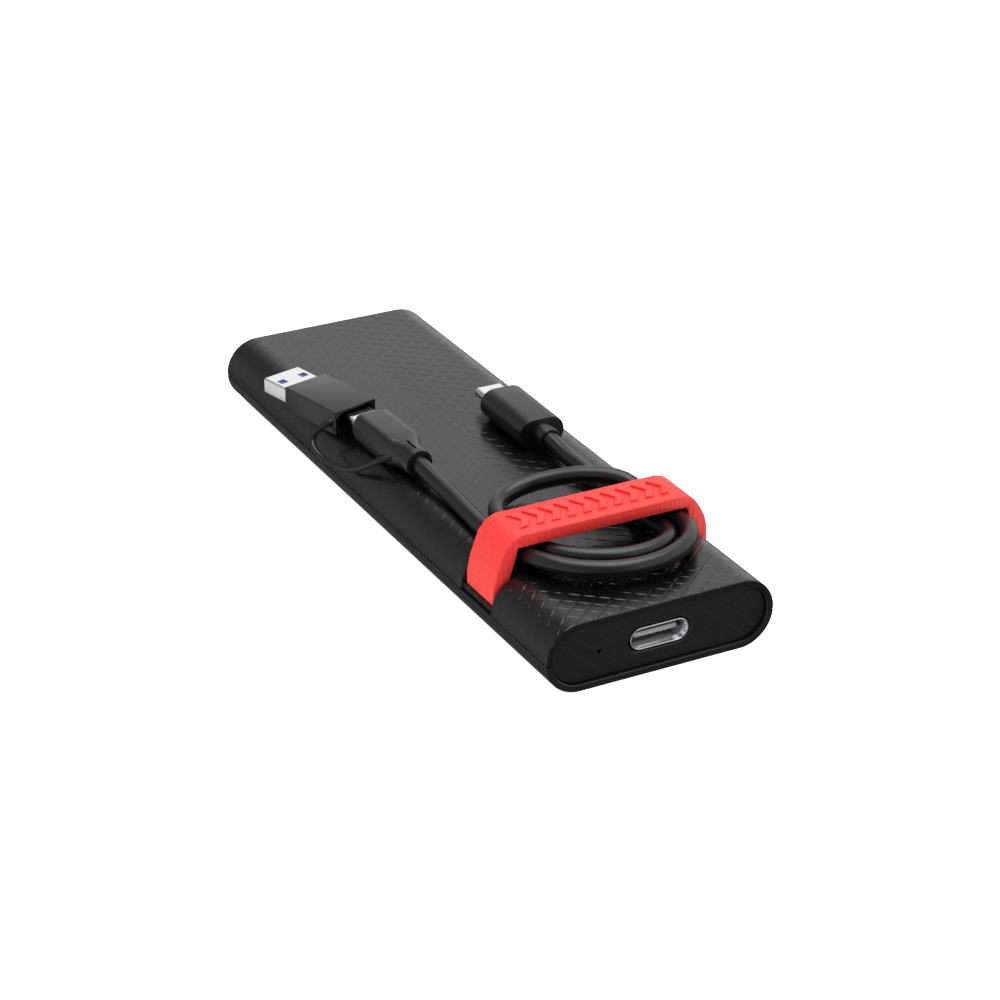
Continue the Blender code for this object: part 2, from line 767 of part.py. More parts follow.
def build_adapter(build):
    """The adapter slides on and off the left plug. Its holder is on that slide's axis, at the socket's mouth."""
    holder = empty(build, "adapter_holder", ADAPTER_FACE, ADAPTER_YAW)
    outline = rounded_rectangle(ADAPTER_WIDTH, ADAPTER_HEIGHT, 0.15 * MM, steps=2)
    body = build.prism("adapter_body", outline, 0.0, ADAPTER_LENGTH, PLUG_BLACK)
    pocket = raised(stadium(SOCKET_WIDTH, SOCKET_HEIGHT, steps=12), SOCKET_RISE)
    pocket_cutter = build.prism("cutter_adapter_pocket", pocket, -1 * MM, SOCKET_DEPTH + 2 * GAP)
    cut(body, pocket_cutter)

    sleeve_width = SOCKET_WIDTH - GAP
    sleeve_height = SOCKET_HEIGHT - GAP
    sleeve = build.prism(
        "adapter_socket",
        raised(stadium(sleeve_width, sleeve_height, steps=12), SOCKET_RISE),
        0.05 * MM,
        SOCKET_DEPTH,
        STEEL,
    )
    mouth = stadium(
        sleeve_width - 2 * SOCKET_WALL, sleeve_height - 2 * SOCKET_WALL, steps=12
    )
    mouth_cutter = build.prism(
        "cutter_adapter_mouth", raised(mouth, SOCKET_RISE), -1 * MM, SOCKET_DEPTH - 0.4 * MM
    )
    cut(sleeve, mouth_cutter)

    shell_low = ADAPTER_LENGTH + GAP
    shell_high = ADAPTER_LENGTH + SHELL_LENGTH
    shell = build.prism(
        "wide_plug_shell",
        rounded_rectangle(SHELL_WIDTH, SHELL_HEIGHT, 0.15 * MM, steps=2),
        shell_low,
        shell_high,
        STEEL,
    )
    inner = (SHELL_WIDTH / 2 - SHELL_WALL, SHELL_HEIGHT / 2 - SHELL_WALL)
    cavity = build.box(
        "cutter_wide_plug",
        (-inner[0], shell_low + 0.4 * MM, -inner[1]),
        (inner[0], shell_high + 1 * MM, inner[1]),
    )
    cut(shell, cavity)
    windows = []
    for label, x in (("left", -1.95 * MM), ("right", 1.95 * MM)):
        window = build.box(
            f"cutter_window_{label}",
            (x - 0.65 * MM, ADAPTER_LENGTH + 2.3 * MM, 0.0),
            (x + 0.65 * MM, ADAPTER_LENGTH + 3.6 * MM, SHELL_HEIGHT),
        )
        cut(shell, window)
        windows.append(window)
    insulator = build.box(
        "wide_plug_insulator",
        (-inner[0] + GAP, shell_low + 0.4 * MM + GAP, -0.1 * MM),
        (inner[0] - GAP, shell_high - 0.3 * MM, inner[1] - GAP),
        BLUE,
    )
    movable = [body, pocket_cutter, sleeve, mouth_cutter, shell, cavity, insulator, *windows]
    for obj in movable:
        obj.parent = holder


def build_cords(build):
    build.tube("cable", CABLE_ROUTE, CABLE_DIAMETER, CABLE_POINT_STEP, CABLE_BLACK)
    build.tube("tether", TETHER_ROUTE, TETHER_DIAMETER, 2.0 * MM, CABLE_BLACK)


def main():
    clear_scene()
    build = Builder()
    build_shells(build)
    build_end_plates(build)
    build_strap(build)
    build_port(build)
    build_boards(build)
    build_drive(build)
    build_right_plug(build)
    build_left_plug(build)
    build_adapter(build)
    build_cords(build)


if __name__ == "__main__":
    main()
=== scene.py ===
"""Solid state drive with its stowed cable: the visual model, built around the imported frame.

Each piece of the object is one operator, and its sizes and colours are properties of the scene.
Everything is in metres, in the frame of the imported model: X is the width, Y the length with the port
at -Y, and Z is up.
"""

import math

import bmesh
import bpy
from bpy.props import FloatProperty, FloatVectorProperty, IntProperty, PointerProperty
from mathutils import Matrix, Vector


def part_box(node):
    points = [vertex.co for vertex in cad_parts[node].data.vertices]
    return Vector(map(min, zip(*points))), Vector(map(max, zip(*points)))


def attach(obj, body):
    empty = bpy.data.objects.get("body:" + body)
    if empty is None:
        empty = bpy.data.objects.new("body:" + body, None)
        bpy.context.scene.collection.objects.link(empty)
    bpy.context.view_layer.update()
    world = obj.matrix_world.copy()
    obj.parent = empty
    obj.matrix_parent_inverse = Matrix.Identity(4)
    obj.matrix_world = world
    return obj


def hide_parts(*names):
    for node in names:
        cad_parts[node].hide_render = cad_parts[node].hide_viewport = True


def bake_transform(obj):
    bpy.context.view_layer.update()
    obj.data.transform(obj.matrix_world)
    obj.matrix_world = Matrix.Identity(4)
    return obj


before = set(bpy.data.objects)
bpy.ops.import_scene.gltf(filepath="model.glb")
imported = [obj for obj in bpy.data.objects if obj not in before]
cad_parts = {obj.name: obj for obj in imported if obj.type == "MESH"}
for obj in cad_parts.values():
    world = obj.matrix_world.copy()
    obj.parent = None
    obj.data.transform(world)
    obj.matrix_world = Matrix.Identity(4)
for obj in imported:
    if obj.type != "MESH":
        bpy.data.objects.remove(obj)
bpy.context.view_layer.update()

bl_info = {
    "name": "Solid State Drive with Stowed Cable",
    "version": (1, 0, 0),
    "blender": (4, 5, 0),
    "location": "View3D > Sidebar > Drive",
    "description": "Builds a slim drive enclosure with its cable under an elastic strap",
    "category": "Add Mesh",
}

MM = 0.001
CURVE_STEPS = [i / 20 for i in range(20)]
# Share of the full height and inset of each step up a raised mark
MARK_STEPS = ((0.5, 0.0), (0.85, 0.06 * MM), (1.0, 0.2 * MM))

# Enclosure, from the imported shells
UPPER_LOW, UPPER_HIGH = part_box("upper_shell")
LOWER_LOW, LOWER_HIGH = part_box("lower_shell")
BODY_WIDTH = UPPER_HIGH.x - UPPER_LOW.x
BODY_HEIGHT = UPPER_HIGH.z - LOWER_LOW.z
FLANK_RADIUS = BODY_HEIGHT / 2
MID_Z = LOWER_LOW.z + FLANK_RADIUS
FLAT_REACH = BODY_WIDTH / 2 - FLANK_RADIUS
FRONT_Y = UPPER_LOW.y
REAR_Y = UPPER_HIGH.y
PARTING_Z = (UPPER_LOW.z + LOWER_HIGH.z) / 2
BODY_WALL = 1.0 * MM

# End plates, port and strap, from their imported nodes
PLATE_FRONT_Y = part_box("front_end_plate")[0].y
PLATE_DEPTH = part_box("front_end_plate")[1].y - PLATE_FRONT_Y
PLATE_REAR_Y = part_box("rear_end_plate")[1].y
PORT_LOW, PORT_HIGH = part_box("port_shell")
LAMP_LOW, LAMP_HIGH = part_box("status_lamp")
STRAP_LOW, STRAP_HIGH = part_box("strap")
STRAP_THICK = 1.9 * MM
RECESS_X = 13.85 * MM
RECESS_FRONT_Y = STRAP_LOW.y - 0.3 * MM
RECESS_REAR_Y = STRAP_HIGH.y + 0.5 * MM
STRAP_CAVITY_X = 13.0 * MM
LEDGE_Z = PARTING_Z + 1.0 * MM
RECESS_EDGE_X = 13.64 * MM
DIAMOND_WIDTH = 3.14 * MM
GROOVE_SHARE = 0.06
PLATE_DIAMOND_ROWS = 4
# How far in a rounded edge has come after each 30 degrees of its turn
ROUND_STOPS = (0.0, 0.134, 0.5, 1.0)

# Plugs and adapter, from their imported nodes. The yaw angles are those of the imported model.
TIP_HALF = 2.8 * MM
RIGHT_YAW = math.radians(-0.7)
RIGHT_LENGTH = 12.7 * MM
RIGHT_NECK_LENGTH = 2.5 * MM
LEFT_YAW = math.radians(1.5)
LEFT_LENGTH = 15.0 * MM
ADAPTER_YAW = math.radians(13.6)
ADAPTER_LENGTH = 12.1 * MM
PLUG_WIDTH = 7.4 * MM
PLUG_HEIGHT = 4.6 * MM
LEFT_SIDE_TRIM = 0.5 * MM
JOIN_GAP = 0.3 * MM
SOCKET_RISE = 0.25 * MM

# The middle of the cable, from the left plug to the right plug
CABLE_ROUTE = [
    (-0.012, -0.0053, 0.0126), (-0.0118, -0.0101, 0.01195), (-0.0117, -0.0149, 0.01165),
    (-0.012, -0.0197, 0.01165), (-0.01225, -0.0245, 0.01165), (-0.01205, -0.0293, 0.0117),
    (-0.01175, -0.0341, 0.012), (-0.0104, -0.0388, 0.0124), (-0.00765, -0.0428, 0.0125),
    (-0.0035, -0.04535, 0.0125), (0.0012, -0.0462, 0.0125), (0.00595, -0.04525, 0.0125),
    (0.01, -0.04265, 0.0125), (0.0121, -0.0386, 0.0124), (0.0119, -0.0336, 0.0124),
    (0.0117, -0.0289, 0.0124), (0.0095, -0.0252, 0.0142), (0.0058, -0.0217, 0.0142),
    (0.0019, -0.019, 0.0133), (-0.0026, -0.0177, 0.0123), (-0.0068, -0.0193, 0.01175),
    (-0.0091, -0.0236, 0.01165), (-0.0094, -0.0283, 0.0117), (-0.009, -0.0331, 0.0119),
    (-0.0074, -0.0375, 0.0123), (-0.0042, -0.041, 0.0125), (0.0002, -0.0428, 0.0125),
    (0.0044, -0.0426, 0.0124), (0.0077, -0.0409, 0.0122), (0.00935, -0.0379, 0.0119),
    (0.00925, -0.0344, 0.01165), (0.0089, -0.0304, 0.01165), (0.00865, -0.0256, 0.01165),
    (0.0087, -0.0208, 0.01165), (0.0088, -0.0159, 0.0117), (0.0086, -0.0111, 0.01195),
    (0.0084, -0.0069, 0.0126),
]

# The middle of the tether, from the adapter to the left plug
TETHER_ROUTE = [
    (-0.0163, 0.0149, 0.0122), (-0.0173, 0.01495, 0.0119), (-0.0182, 0.0155, 0.0112),
    (-0.0191, 0.0159, 0.0101), (-0.0196, 0.0155, 0.0092), (-0.0198, 0.0142, 0.0085),
    (-0.0195, 0.0119, 0.00795), (-0.019, 0.0093, 0.0079), (-0.0184, 0.0068, 0.0082),
    (-0.0177, 0.0048, 0.0089), (-0.01695, 0.0027, 0.0101), (-0.016, 0.0008, 0.0115),
    (-0.01535, 0.0001, 0.012), (-0.0144, -0.00045, 0.0123),
]

# The camera
CAMERA_AZIMUTH = math.radians(-27.8477)
CAMERA_ELEVATION = math.radians(26.5745)
CAMERA_ROLL = math.radians(0.06)
CAMERA_PLACE = Vector((-0.177149, -0.342090, 0.194607))


def linear(code):
    """The linear colour of an sRGB one written as six hexadecimal digits."""
    channels = [int(code[i : i + 2], 16) / 255 for i in (0, 2, 4)]
    return [c / 12.92 if c <= 0.04045 else ((c + 0.055) / 1.055) ** 2.4 for c in channels]


def number_property(name, description, default, **limits):
    return FloatProperty(name=name, description=description, default=default, **limits)


def length_property(name, description, default):
    return number_property(name, description, default, unit="LENGTH", precision=5, min=0.0)


def colour_property(name, description, code):
    return FloatVectorProperty(
        name=name, description=description, default=linear(code), subtype="COLOR", size=3, min=0.0, max=1.0
    )


def count_property(name, description, default, least):
    return IntProperty(name=name, description=description, default=default, min=least)


# ---------------------------------------------------------------- properties


class DriveShellSettings(bpy.types.PropertyGroup):
    diamond_width: length_property("Diamond width", "Width of one diamond of the relief", DIAMOND_WIDTH)
    diamond_rows: count_property("Diamond rows", "Rows of diamonds along the enclosure", 40, 4)
    groove_depth: length_property("Groove depth", "Depth of the relief's grooves", 0.062 * MM)
    groove_half: number_property(
        "Groove share", "Half a groove's width as a share of the spacing", GROOVE_SHARE, min=0.01, max=0.3
    )
    tile_tilt: length_property("Tile tilt", "Height that each tile gains from edge to edge", 0.009 * MM)
    apex_x: number_property("Apex", "X of the line where the chevrons turn", -0.7 * MM, unit="LENGTH")
    end_round: length_property("End rounding", "Radius round the open ends", 0.12 * MM)
    parting_gap: length_property("Parting gap", "Height of the gap between the shells", 0.14 * MM)
    upper_colour: colour_property("Upper colour", "Colour of the textured shell", "0b0b0c")
    lower_colour: colour_property("Lower colour", "Colour of the plain shell", "121213")
    plate_colour: colour_property("Plate colour", "Colour of the end plates", "101011")


class DriveStrapSettings(bpy.types.PropertyGroup):
    colour: colour_property("Colour", "Colour of the elastic strap", "f2352f")
    edge_round: length_property("Edge rounding", "Radius along the strap's edges", 0.25 * MM)
    mark_height: length_property("Mark height", "How far the raised chevrons stand up", 0.35 * MM)
    mark_count: count_property("Marks", "Number of raised chevrons on the strap", 10, 1)
    weave_pitch: length_property("Weave pitch", "Spacing of the moulded weave", 0.543 * MM)


class DriveCableSettings(bpy.types.PropertyGroup):
    diameter: length_property("Diameter", "Outer diameter of the cable", 2.5 * MM)
    tether_diameter: length_property("Tether diameter", "Diameter of the moulded tether", 0.9 * MM)
    jacket_colour: colour_property("Jacket colour", "Colour of the cable's jacket", "0c0c0d")
    plug_colour: colour_property("Plug colour", "Colour of the moulded grips", "121213")
    metal_colour: colour_property("Metal colour", "Colour of the nickel plating", "f0f0f2")
    blue_colour: colour_property("Insulator colour", "Colour of the wide plug's insulator", "3b5a86")


class DriveStageSettings(bpy.types.PropertyGroup):
    floor_colour: colour_property("Floor colour", "Colour of the floor", "f4f4f4")
    floor_glow: number_property("Floor glow", "Light that the floor gives off", 0.9, min=0.0)
    sky_strength: number_property("Sky", "Strength of the even light from all round", 1.0, min=0.0)
    under_share: number_property(
        "Light from below", "Light from below the horizon as a share of the sky's", 0.13, min=0.0
    )
    top_power: number_property("Top light", "Power of the soft light above", 5.0, min=0.0, unit="POWER")
    lens: number_property("Lens", "Focal length in millimetres", 105.16, min=10.0)


# ---------------------------------------------------------------- materials


def add_node(tree, kind, inputs=None, output=None, **settings):
    """Adds a shader node, and returns it or the output that is asked for.

    inputs holds a value or another node's output for each of its own sockets.
    """
    made = tree.nodes.new("ShaderNode" + kind)
    for name, value in settings.items():
        setattr(made, name, value)
    for name, value in (inputs or {}).items():
        if isinstance(value, bpy.types.NodeSocket):
            tree.links.new(value, made.inputs[name])
        else:
            made.inputs[name].default_value = value
    return made if output is None else made.outputs[output]


def grained(name, colour, roughness, grain, depth, spread=0.06, shade=0.25, metallic=0.0, stretch=None):
    """A surface with an even grain, and its tree and shader. colour is linear red, green and blue.

    grain is the grain's size and depth its height, both in metres. spread is how far the roughness
    varies, and shade how far the colour does. stretch scales the grain along each axis, for a drawn or
    brushed surface.
    """
    made = bpy.data.materials.new(name)
    made.use_nodes = True
    made.diffuse_color = (*colour, 1.0)
    tree = made.node_tree
    shader = tree.nodes["Principled BSDF"]
    for socket, value in (("Base Color", (*colour, 1.0)), ("Roughness", roughness), ("Metallic", metallic)):
        shader.inputs[socket].default_value = value
    place = add_node(tree, "TexCoord", output="Object")
    if stretch:
        place = add_node(tree, "Mapping", {"Vector": place, "Scale": stretch}, "Vector")
    noise = {"Vector": place, "Detail": 2.0}
    fine = add_node(tree, "TexNoise", {**noise, "Scale": 1 / grain, "Roughness": 0.55}, "Fac")
    broad = add_node(tree, "TexNoise", {**noise, "Scale": 0.05 / grain}, "Fac")
    middle_of_noise = {"From Min": 0.3, "From Max": 0.7}
    tone, worn = (
        add_node(
            tree,
            "MapRange",
            {"Value": value, **middle_of_noise, "To Min": middle - reach, "To Max": middle + reach},
            "Result",
        )
        for value, middle, reach in ((fine, 1.0, shade), (broad, roughness, spread))
    )
    tinted = add_node(tree, "VectorMath", {0: (*colour,), "Scale": tone}, "Vector", operation="SCALE")
    bump = add_node(tree, "Bump", {"Height": fine, "Distance": depth, "Strength": 1.0}, "Normal")
    for socket, value in (("Base Color", tinted), ("Roughness", worn), ("Normal", bump)):
        tree.links.new(value, shader.inputs[socket])
    return made, tree, shader


def moulded_abs(name, colour, roughness, depth=0.002 * MM):
    """ABS from a spark-eroded mould: a fine even grain that spreads the highlights into a satin sheen.

    The real grain is about 0.05 mm. It is drawn at 0.35 mm, so that it shows.
    """
    return grained(name, colour, roughness, 0.35 * MM, depth)[0]


def moulded_rubber(name, colour, roughness):
    """Thermoplastic rubber moulded over the plugs: a soft black with a broad, weak highlight."""
    return grained(name, colour, roughness, 0.3 * MM, 0.008 * MM, spread=0.05)[0]

def extruded_jacket(name, colour):
    """Thermoplastic rubber drawn over the cable: smoother than the grips, with a long clear highlight."""
    return grained(name, colour, 0.3, 0.45 * MM, 0.004 * MM, spread=0.04, shade=0.12)[0]


def woven_silicone(name, colour, pitch):
    """Silicone rubber moulded with a woven face: rows of small square studs that soften its sheen."""
    made, tree, shader = grained(name, colour, 0.55, 0.3 * MM, 0.006 * MM, shade=0.04)
    grain = shader.inputs["Normal"].links[0].from_socket
    shader.inputs["Subsurface Weight"].default_value = 0.12
    shader.inputs["Subsurface Radius"].default_value = (1.0, 0.25, 0.2)
    shader.inputs["Subsurface Scale"].default_value = 0.8 * MM
    place = add_node(tree, "TexCoord", output="Object")
    turned = add_node(tree, "Mapping", {"Vector": place, "Rotation": (0.0, 0.0, math.radians(45))}, "Vector")
    # A wave texture repeats every pi / (10 * Scale) metres, and this makes that the pitch.
    wave = {"Vector": turned, "Scale": math.pi / 10 / pitch}
    bands = [
        add_node(tree, "TexWave", wave, "Fac", wave_type="BANDS", bands_direction=way, wave_profile="SIN")
        for way in ("X", "Y")
    ]
    weave = add_node(tree, "Math", {0: bands[0], 1: bands[1]}, 0, operation="MULTIPLY")
    studs = {"Height": weave, "Distance": 0.05 * MM, "Strength": 1.0, "Normal": grain}
    tree.links.new(add_node(tree, "Bump", studs, "Normal"), shader.inputs["Normal"])
    return made


def drawn_metal(name, colour, roughness, along):
    """Plated sheet metal, drawn or brushed along one axis: fine streaks that stretch its reflections.

    Real streaks are finer than 0.05 mm. They are drawn 0.12 mm apart, so that they show.
    """
    stretch = [1.0, 1.0, 1.0]
    stretch[along] = 0.06
    streaks = {"shade": 0.05, "metallic": 1.0, "stretch": stretch}
    return grained(name, colour, roughness, 0.12 * MM, 0.0015 * MM, **streaks)[0]


def solder_mask(name, colour):
    """Glass-fibre board under solder mask: glossy, with paler copper tracks showing through the mask."""
    made, tree, shader = grained(name, colour, 0.32, 0.25 * MM, 0.003 * MM, shade=0.1)
    place = add_node(tree, "TexCoord", output="Object")
    copper_width = 1.6 * MM
    cells = {"Vector": place, "Scale": 1 / copper_width, "Randomness": 0.6}
    edge = add_node(tree, "TexVoronoi", cells, "Distance", feature="DISTANCE_TO_EDGE")
    copper = add_node(tree, "MapRange", {"Value": edge, "From Min": 0.06, "From Max": 0.09}, "Result")
    paler = [min(1.0, c * 1.7 + 0.01) for c in colour]
    mixed = {"Factor": copper, 6: (*colour, 1.0), 7: (*paler, 1.0)}
    tree.links.new(add_node(tree, "Mix", mixed, 2, data_type="RGBA"), shader.inputs["Base Color"])
    return made


def clear_polycarbonate(name, colour):
    """Moulded polycarbonate light pipe: clear and glossy, a little frosted by its mould."""
    made, tree, shader = grained(name, colour, 0.22, 0.3 * MM, 0.002 * MM, shade=0.03)
    shader.inputs["IOR"].default_value = 1.58
    shader.inputs["Transmission Weight"].default_value = 0.6
    return made


def shared(name, maker, *values):
    """The material of that name, made once."""
    return bpy.data.materials.get(name) or maker(name, *values)


def nickel(settings):
    return shared("steel_nickel_plated", drawn_metal, settings.metal_colour, 0.15, 1)


def gold():
    return shared("copper_gold_plated", drawn_metal, linear("d8b45c"), 0.25, 1)


def grip_rubber(settings):
    return shared("rubber_moulded_black", moulded_rubber, settings.plug_colour, 0.3)


def finish_with(piece, made):
    piece.data.materials.clear()
    piece.data.materials.append(made)


# ---------------------------------------------------------------- outlines and sections


def arc(middle_x, middle_z, radius, start, turn, steps):
    """Points on an arc, from a start through a turn in degrees."""
    angles = [math.radians(start + turn * i / steps) for i in range(steps + 1)]
    return [(middle_x + radius * math.cos(a), middle_z + radius * math.sin(a)) for a in angles]


def stadium(width, height, steps=20):
    """Points round a shape with two half-round sides."""
    radius, reach = height / 2, (width - height) / 2
    return arc(reach, 0.0, radius, -90, 180, steps) + arc(-reach, 0.0, radius, 90, 180, steps)


def rounded_rectangle(width, height, radius, steps=3):
    x, z = width / 2 - radius, height / 2 - radius
    corners = ((x, -z, -90), (x, z, 0), (-x, z, 90), (-x, -z, 180))
    return [point for corner in corners for point in arc(*corner[:2], radius, corner[2], 90, steps)]


def circle(radius, steps=48):
    return arc(0.0, 0.0, radius, 0, 360, steps)[:-1]


def raised(outline, z):
    return [(x, height + z) for x, height in outline]


def rounded_ends(outline_at, low, high, low_radius, high_radius, steps=5):
    """Sections of a bar whose two ends are rounded over. outline_at gives the outline for an inset."""
    turns = [math.pi / 2 * i / steps for i in range(steps + 1)]
    low_end, high_end = (
        [(end + way * radius * (1 - math.sin(a)), outline_at(radius * (1 - math.cos(a)))) for a in turns]
        for end, radius, way in ((low, low_radius, 1), (high, high_radius, -1))
    )
    return low_end[::-1] + high_end


def stepped(outline_at, *profile):
    """Sections from pairs of a place along Y and the outline's inset there."""
    return [(y, outline_at(inset)) for y, inset in profile]


# ---------------------------------------------------------------- meshes


def new_piece(name, shape, smooth=35):
    """Links an object for a bmesh, which it frees. smooth is the sharpest smooth edge in degrees."""
    mesh = bpy.data.meshes.new(name)
    bmesh.ops.recalc_face_normals(shape, faces=shape.faces)
    shape.to_mesh(mesh)
    shape.free()
    piece = bpy.data.objects.new(name, mesh)
    bpy.context.scene.collection.objects.link(piece)
    smooth_by_angle(piece, smooth)
    return piece


def smooth_by_angle(piece, degrees):
    piece.data.polygons.foreach_set("use_smooth", [True] * len(piece.data.polygons))
    piece.data.set_sharp_from_angle(angle=math.radians(degrees))


def skin(shape, rings, closed=True):
    """Joins each row of vertices to the next with faces."""
    for first, second in zip(rings, rings[1:]):
        for i in range(len(first) if closed else len(first) - 1):
            j = (i + 1) % len(first)
            shape.faces.new((first[i], first[j], second[j], second[i]))


def loft_into(shape, sections):
    """Adds a closed solid through outlines in X and Z, each with its own Y, in order."""
    rings = [[shape.verts.new((x, y, z)) for x, z in outline] for y, outline in sections]
    skin(shape, rings)
    shape.faces.new(rings[0])
    shape.faces.new(rings[-1])


def loft(name, sections, smooth=35):
    shape = bmesh.new()
    loft_into(shape, sections)
    return new_piece(name, shape, smooth)


def box_into(shape, low, high):
    """Adds a box, so that small repeated pieces share one mesh."""
    outline = [(low[0], low[2]), (high[0], low[2]), (high[0], high[2]), (low[0], high[2])]
    loft_into(shape, [(low[1], outline), (high[1], outline)])


def contact_row(shape, count, pitch, half, low_y, high_y, low_z, high_z):
    """Adds a row of flat contacts, the same on each side of the middle."""
    for k in range(count):
        x = (k - (count - 1) / 2) * pitch
        box_into(shape, (x - half, low_y, low_z), (x + half, high_y, high_z))


def soften(piece, width, segments=3, angle=40):
    """Rounds the sharp edges of a piece."""
    bevel = piece.modifiers.new("rounded_edges", "BEVEL")
    bevel.width = width
    bevel.segments = segments
    bevel.limit_method = "ANGLE"
    bevel.angle_limit = math.radians(angle)
    settle(piece)


def carve(piece, cutter, operation="DIFFERENCE"):
    """Cuts a piece with a closed shape, which is then removed."""
    cut = piece.modifiers.new("cut", "BOOLEAN")
    cut.operation = operation
    cut.solver = "EXACT"
    cut.object = cutter
    settle(piece)
    bpy.data.objects.remove(cutter, do_unlink=True)

def carve_box(piece, low, high):
    shape = bmesh.new()
    box_into(shape, low, high)
    carve(piece, new_piece("box_cutter", shape))


def settle(piece, smooth=35):
    """Turns the modifiers of a piece into its mesh."""
    bpy.context.view_layer.update()
    graph = bpy.context.evaluated_depsgraph_get()
    made = bpy.data.meshes.new_from_object(piece.evaluated_get(graph))
    if not made.polygons:
        raise RuntimeError(f"{piece.name} has no faces left")
    old = piece.data
    piece.modifiers.clear()
    piece.data = made
    made.name = piece.name
    bpy.data.meshes.remove(old)
    smooth_by_angle(piece, smooth)


def smooth_points(route, step):
    """Evenly spaced points on a Catmull-Rom curve through the route."""
    route = [Vector(point) for point in route]
    ends = [2 * route[0] - route[1], *route, 2 * route[-1] - route[-2]]
    fine = []
    for p0, p1, p2, p3 in zip(ends, ends[1:], ends[2:], ends[3:]):
        bend, twist = 2 * p0 - 5 * p1 + 4 * p2 - p3, 3 * p1 - p0 - 3 * p2 + p3
        fine += [0.5 * (2 * p1 + (p2 - p0) * t + bend * t**2 + twist * t**3) for t in CURVE_STEPS]
    fine.append(route[-1])
    lengths = [0.0]
    for first, second in zip(fine, fine[1:]):
        lengths.append(lengths[-1] + (second - first).length)
    count = max(2, round(lengths[-1] / step))
    points = []
    index = 0
    for i in range(count + 1):
        target = lengths[-1] * i / count
        while index < len(fine) - 2 and lengths[index + 1] < target:
            index += 1
        span = lengths[index + 1] - lengths[index]
        points.append(fine[index].lerp(fine[index + 1], (target - lengths[index]) / span))
    return points


def place_from(node, yaw, along):
    """The matrix of a holder whose given point, along its own Y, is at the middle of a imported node."""
    low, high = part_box(node)
    turn = Matrix.Rotation(yaw, 4, "Z")
    origin = (low + high) / 2 - turn @ Vector((0.0, along, 0.0))
    return Matrix.Translation(origin) @ turn

def put(piece, made, slot=None, nodes=(), body="enclosure", matrix=Matrix.Identity(4)):
    """Places a piece and gives it its finish. It rides on a body and stands for its nodes. Its slot is not
    used.
    """
    piece.matrix_world = matrix
    finish_with(piece, made)
    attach(piece, body)
    if nodes:
        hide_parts(*nodes)


# ---------------------------------------------------------------- shells


def rounding(distance, radius):
    """How far a rounded-over edge has dropped at a distance from the edge."""
    if distance >= radius:
        return 0.0
    return radius - math.sqrt(max(0.0, radius**2 - (radius - distance) ** 2))


def smoothstep(value, low, high):
    share = min(1.0, max(0.0, (value - low) / (high - low)))
    return share * share * (3 - 2 * share)


class HalfShell:
    """One shell, unrolled: u runs across it from flank to flank, and y along it."""

    edge_round = 0.1 * MM

    def __init__(self, up, settings):
        self.up = up
        self.parting_z = PARTING_Z + up * settings.parting_gap / 2
        self.end_round = settings.end_round
        lean = math.asin(up * (self.parting_z - MID_Z) / FLANK_RADIUS)
        self.reach = FLAT_REACH + FLANK_RADIUS * (math.pi / 2 - lean)

    def section_point(self, u, inset):
        side = 1 if u >= 0 else -1
        radius = FLANK_RADIUS - inset
        run = abs(u) - FLAT_REACH
        if run <= 0:
            return u, MID_Z + self.up * radius
        angle = math.pi / 2 - run / FLANK_RADIUS
        z = MID_Z + self.up * radius * math.sin(angle)
        if abs(u) > self.reach - 1e-7:
            z = self.parting_z
        return side * (FLAT_REACH + radius * math.cos(angle)), z

    def close(self, sheet, drop, cavity_x=None):
        """Wraps a flat sheet of u and y round the outline, lowered by drop(u, y), and closes it inside.

        cavity_x is how far the cavity reaches between the strap's recesses.
        """
        edge = 1e-6
        bmesh.ops.remove_doubles(sheet, verts=sheet.verts, dist=edge)
        front = sorted((v for v in sheet.verts if v.co.y < FRONT_Y + edge), key=lambda v: v.co.x)
        rear = sorted((v for v in sheet.verts if v.co.y > REAR_Y - edge), key=lambda v: v.co.x)
        sides = [
            sorted((v for v in sheet.verts if side * v.co.x > self.reach - edge), key=lambda v: v.co.y)
            for side in (-1, 1)
        ]
        across = [v.co.x for v in front]
        if len(front) != len(rear) or any(abs(a.co.x - b.co.x) > 1e-5 for a, b in zip(front, rear)):
            raise RuntimeError("the two ends of a shell don't match")
        for v in sheet.verts:
            u, y = v.co.x, v.co.y
            lowered = drop(u, y) + rounding(min(y - FRONT_Y, REAR_Y - y), self.end_round)
            lowered += rounding(self.reach - abs(u), self.edge_round)
            x, z = self.section_point(u, lowered)
            v.co = (x, y, z)
        lip, full = 0.12 * MM, BODY_WIDTH / 2
        stops = [(FRONT_Y, BODY_WALL - lip, full), (FRONT_Y + lip, BODY_WALL, full)]
        if cavity_x:
            low, high = RECESS_FRONT_Y - BODY_WALL, RECESS_REAR_Y + BODY_WALL
            narrowed = ((low, full), (low, cavity_x), (high, cavity_x), (high, full))
            stops += [(y, BODY_WALL, most) for y, most in narrowed]
        stops += [(REAR_Y - lip, BODY_WALL, full), (REAR_Y, BODY_WALL - lip, full)]
        inside = []
        for y, inset, most in stops:
            places = [self.section_point(u, inset) for u in across]
            inside.append([sheet.verts.new((max(-most, min(most, x)), y, z)) for x, z in places])
        skin(sheet, [front, *inside, rear], closed=False)
        for side, index in zip(sides, (0, -1)):
            sheet.faces.new([*side, *(ring[index] for ring in reversed(inside))])
        bmesh.ops.remove_doubles(sheet, verts=[v for ring in inside for v in ring], dist=1e-7)
        return sheet


